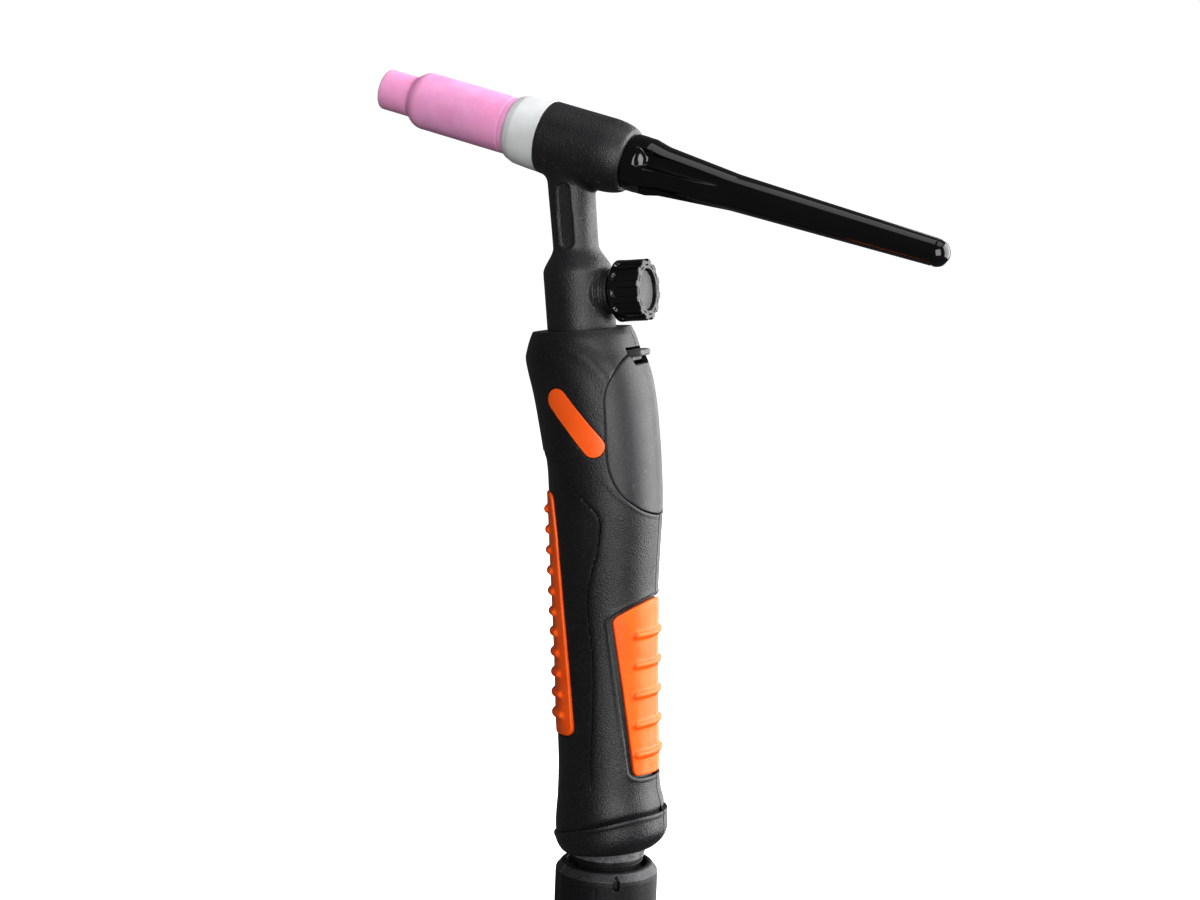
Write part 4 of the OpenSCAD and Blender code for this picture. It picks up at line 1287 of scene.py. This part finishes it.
def knuckle_neck():
    """The threaded neck below the collar, with a fine ring and a flange, in the nut's black plastic as
    painted shade for the hollow inside the nut's mouth.
    """
    start = COLLAR_END + 0.02
    line = rounded([
        (BORE_R, start, 0.1), (11.3, start, 0.1), (11.3, 7.4, 0.2), (11.9, 7.6, 0.3), (11.9, 8.2, 0.3),
        (NECK_OUT_R, 8.4, 0.2), (NECK_OUT_R, 11.1, 0.2), (12.6, 11.1, 0.25), (12.6, 12.7, 0.4),
        (11.4, 13.3, 0.3), (NECK_OUT_R, 13.6, 0.2), (NECK_OUT_R, 36.0, 0.5), (BORE_R, 36.0, 0.4)], steps=4)

    def thread(radius, height, angle):
        wave = np.cos(TURN * height / THREAD_PITCH - angle)
        on_neck = abs(radius - NECK_OUT_R + 0.075) < 0.225
        amount = smooth(16.5, 18.0, height) * smooth(36, 34.5, height)
        return np.where(on_neck, radius - THREAD_DEPTH * amount * (0.5 - 0.5 * wave), radius), height
    # painted shade: the neck takes the nut's dark plastic so that the hollow inside the nut's mouth reads
    # dark
    return round_part("knuckle_neck", KNUCKLE_AXIS, split_long(line, 0.22), 180, NUT, "knuckle",
                      [], thread)


def nut_marks(radius, height, angle):
    """Cuts the drop-shaped mark, the edges of the grip panels and two fine rings into the nut's outside."""
    outside = (radius > NUT_R - 2.6) & (height > NUT_TOP - 0.3) & (height < NUT_END - 0.5)
    turn = angle - math.radians(NOTCH_ANGLE)
    across = abs((turn + math.pi) % TURN - math.pi) * NUT_R
    top, low = NOTCH
    round_z = low - 1.1
    half = np.interp(height, (top, top + 1.9, round_z, low), (0.0, 0.95, NOTCH_HALF, 0.0))
    round_low = np.hypot(across, np.maximum(height - round_z, 0)) - NOTCH_HALF
    drop = np.where(height > round_z, round_low, (across - half) * 0.9)
    dip = 2.2 * smooth(0.08, -0.2, np.where(height < top, 2.0, drop))

    whole = math.radians(PANEL_ANGLE)
    panel = (turn + whole / 2) % whole * NUT_R
    groove = 0.16 * np.exp(-(np.minimum(panel, whole * NUT_R - panel) / 0.3) ** 2)
    groove = groove * smooth(NUT_TOP + 3, NUT_TOP + 5, height) * smooth(NUT_END - 1.5, NUT_END - 3, height)
    ring = sum(0.18 * np.exp(-((height - NUT_END + up) / 0.3) ** 2) for up in (4.5, 6.5))
    return np.where(outside, radius - dip - groove - ring, radius), height


def cable_nut():
    """The hand nut: open funnel mouth, drop-shaped mark near the rim, and flat-edged grip panels."""
    spigot_end = NUT_END + SPIGOT_LEN
    bore_r = NECK_OUT_R + 0.06
    line = rounded([
        (12.7, 15.6, 0.4), (12.9, NUT_TOP + 1.2, 0.6), (13.3, NUT_TOP - 0.8, 0.5),
        (14.7, NUT_TOP - 0.75, 0.9), (16.7, NUT_TOP + 1.8, 0.3), (NUT_R, NUT_TOP + 3.2, 1.0),
        (NUT_R, NUT_END, 1.2), (SPIGOT_R, NUT_END, 0.2), (SPIGOT_R, spigot_end, 0.5),
        (bore_r, spigot_end, 0.3), (bore_r, 18.0, 0.3)], steps=8)
    return round_part("cable_hand_nut", KNUCKLE_AXIS, split_long(line, 0.33), 320, NUT, "cable_nut",
                      ["cable_nut"], nut_marks, sharp=45)


def nut_band():
    """The band on the nut's chamfer, which the mark's point cuts into, in a lighter grey than the nut's black
    plastic as a painted highlight.
    """
    line = rounded([(14.9, NUT_TOP - 0.2, 0.05), (15.05, NUT_TOP - 0.45, 0.1), (16.82, NUT_TOP + 1.75, 0.15),
                    (16.95, NUT_TOP + 2.2, 0.1), (16.6, NUT_TOP + 2.2, 0.05)], steps=4)
    return round_part("cable_nut_band", KNUCKLE_AXIS, split_long(line, 0.25), 320, NUT_BAND_HIGHLIGHT, "cable_nut",
                      [], nut_marks, sharp=45)


def clamp_ring():
    """The crimped ring that holds the hose on the spigot, with a swaged waist round its middle."""
    inner, outer = SPIGOT_R + 0.06, SPIGOT_R + 1.6
    waist = outer - 0.35
    line = rounded([(r, NUT_END + z, corner) for r, z, corner in (
        (inner, 4, 0.2), (outer, 4, 0.35), (outer, 5.2, 0.3), (waist, 5.6, 0.3),
        (waist, 6.4, 0.3), (outer, 6.8, 0.3), (outer, 8, 0.35), (inner, 8, 0.2))])
    return round_part("hose_clamp_ring", KNUCKLE_AXIS, split_long(line, 0.8), 128, DARK_STEEL, "cable_nut",
                      ["clamp_ring"])


# ---------------------------------------------------------------------------------------------
# Camera, stage and lights
# ---------------------------------------------------------------------------------------------

AIM = Vector((3.28, 0.0, 8.68)) * MM
DISTANCE = 0.82494
LENS_MM = 75.84
AZIMUTH, ELEVATION, ROLL = 23.79, 5.47, -4.17


def around(azimuth, elevation):
    """Unit direction from the object towards a place round it."""
    a, e = math.radians(azimuth), math.radians(elevation)
    return Vector((math.sin(a) * math.cos(e), -math.cos(a) * math.cos(e), math.sin(e)))


def camera():
    data = bpy.data.cameras.new("camera")
    data.lens = LENS_MM
    data.sensor_width = 36
    data.clip_start, data.clip_end = 0.01, 50
    lens = bpy.data.objects.new("camera", data)
    bpy.context.scene.collection.objects.link(lens)
    back = around(AZIMUTH, ELEVATION)
    right = Vector((math.cos(math.radians(AZIMUTH)), math.sin(math.radians(AZIMUTH)), 0))
    up = back.cross(right)
    roll = math.radians(ROLL)
    side = right * math.cos(roll) + up * math.sin(roll)
    top = up * math.cos(roll) - right * math.sin(roll)
    lens.matrix_world = Matrix(((side.x, top.x, back.x, AIM.x + back.x * DISTANCE),
                                (side.y, top.y, back.y, AIM.y + back.y * DISTANCE),
                                (side.z, top.z, back.z, AIM.z + back.z * DISTANCE), (0, 0, 0, 1)))
    bpy.context.scene.camera = lens


def soft_light(name, azimuth, elevation, distance, width, height, power):
    data = bpy.data.lights.new(name, "AREA")
    data.shape = "RECTANGLE"
    data.size, data.size_y = width, height
    data.energy = power
    lamp = bpy.data.objects.new(name, data)
    bpy.context.scene.collection.objects.link(lamp)
    away = around(azimuth, elevation)
    lamp.location = AIM + away * distance
    lamp.rotation_euler = away.to_track_quat("Z", "Y").to_euler()


def studio():
    """A pale round floor, an even white surround that is bright only to the camera, and four soft lights."""
    floor_mesh = bpy.data.meshes.new("floor")
    reach, sides = 3.0, 64
    turns = [i * TURN / sides for i in range(sides)]
    ring = [(reach * math.cos(a), reach * math.sin(a), cad_low.z) for a in turns]
    floor_mesh.from_pydata(ring, [], [list(range(sides))])
    floor = bpy.data.objects.new("floor", floor_mesh)
    bpy.context.scene.collection.objects.link(floor)
    g = Graph("floor_white")
    tone = g.mix(g.remap(g.noise(400, 2), 0.3, 0.7, 0.0, 1.0), (0.90, 0.90, 0.90, 1), (0.93, 0.93, 0.93, 1))
    floor_mesh.materials.append(g.finish(Base_Color=tone, Roughness=0.9, Specular_IOR_Level=0.1,
                                         Emission_Color=(1, 1, 1, 1), Emission_Strength=0.95))
    floor.visible_glossy = False
    floor.visible_diffuse = False

    world = bpy.data.worlds.new("studio")
    world.use_nodes = True
    bpy.context.scene.world = world
    nodes, links = world.node_tree.nodes, world.node_tree.links
    sky = nodes["Background"]
    sky.inputs["Color"].default_value = (1, 1, 1, 1)
    seen = nodes.new("ShaderNodeLightPath").outputs["Is Camera Ray"]
    level = nodes.new("ShaderNodeMapRange")
    level.inputs["To Min"].default_value = 0.14
    level.inputs["To Max"].default_value = 1.05
    links.new(seen, level.inputs["Value"])
    links.new(level.outputs["Result"], sky.inputs["Strength"])
    soft_light("right", AZIMUTH + 90, 6, 1.2, 1.5, 1.6, 60)
    soft_light("front", AZIMUTH + 6, 3, 1.5, 1.1, 1.3, 30)
    soft_light("rim", AZIMUTH + 146, 4, 1.3, 0.5, 1.6, 9)
    soft_light("top", AZIMUTH + 60, 66, 1.4, 1.1, 1.1, 7)
    view = bpy.context.scene.view_settings
    view.view_transform = "Standard"
    view.gamma = 0.86


camera()
studio()
for half in (-1, 1):
    handle_shell(half)
    rear_pad(half)
    front_pad(half)
    badge(half)
patch("module_cover_panel", cover_outline(), cover_place, 0.45, 2.0, COVER, "module_cover",
      ["module_cover"], rings=60)
latch()
screws()
torch_body()
cup()
gasket()
back_cap()
knob()
knob_face()
knob_ring()
knuckle()
knuckle_neck()
cable_nut()
nut_band()
clamp_ring()
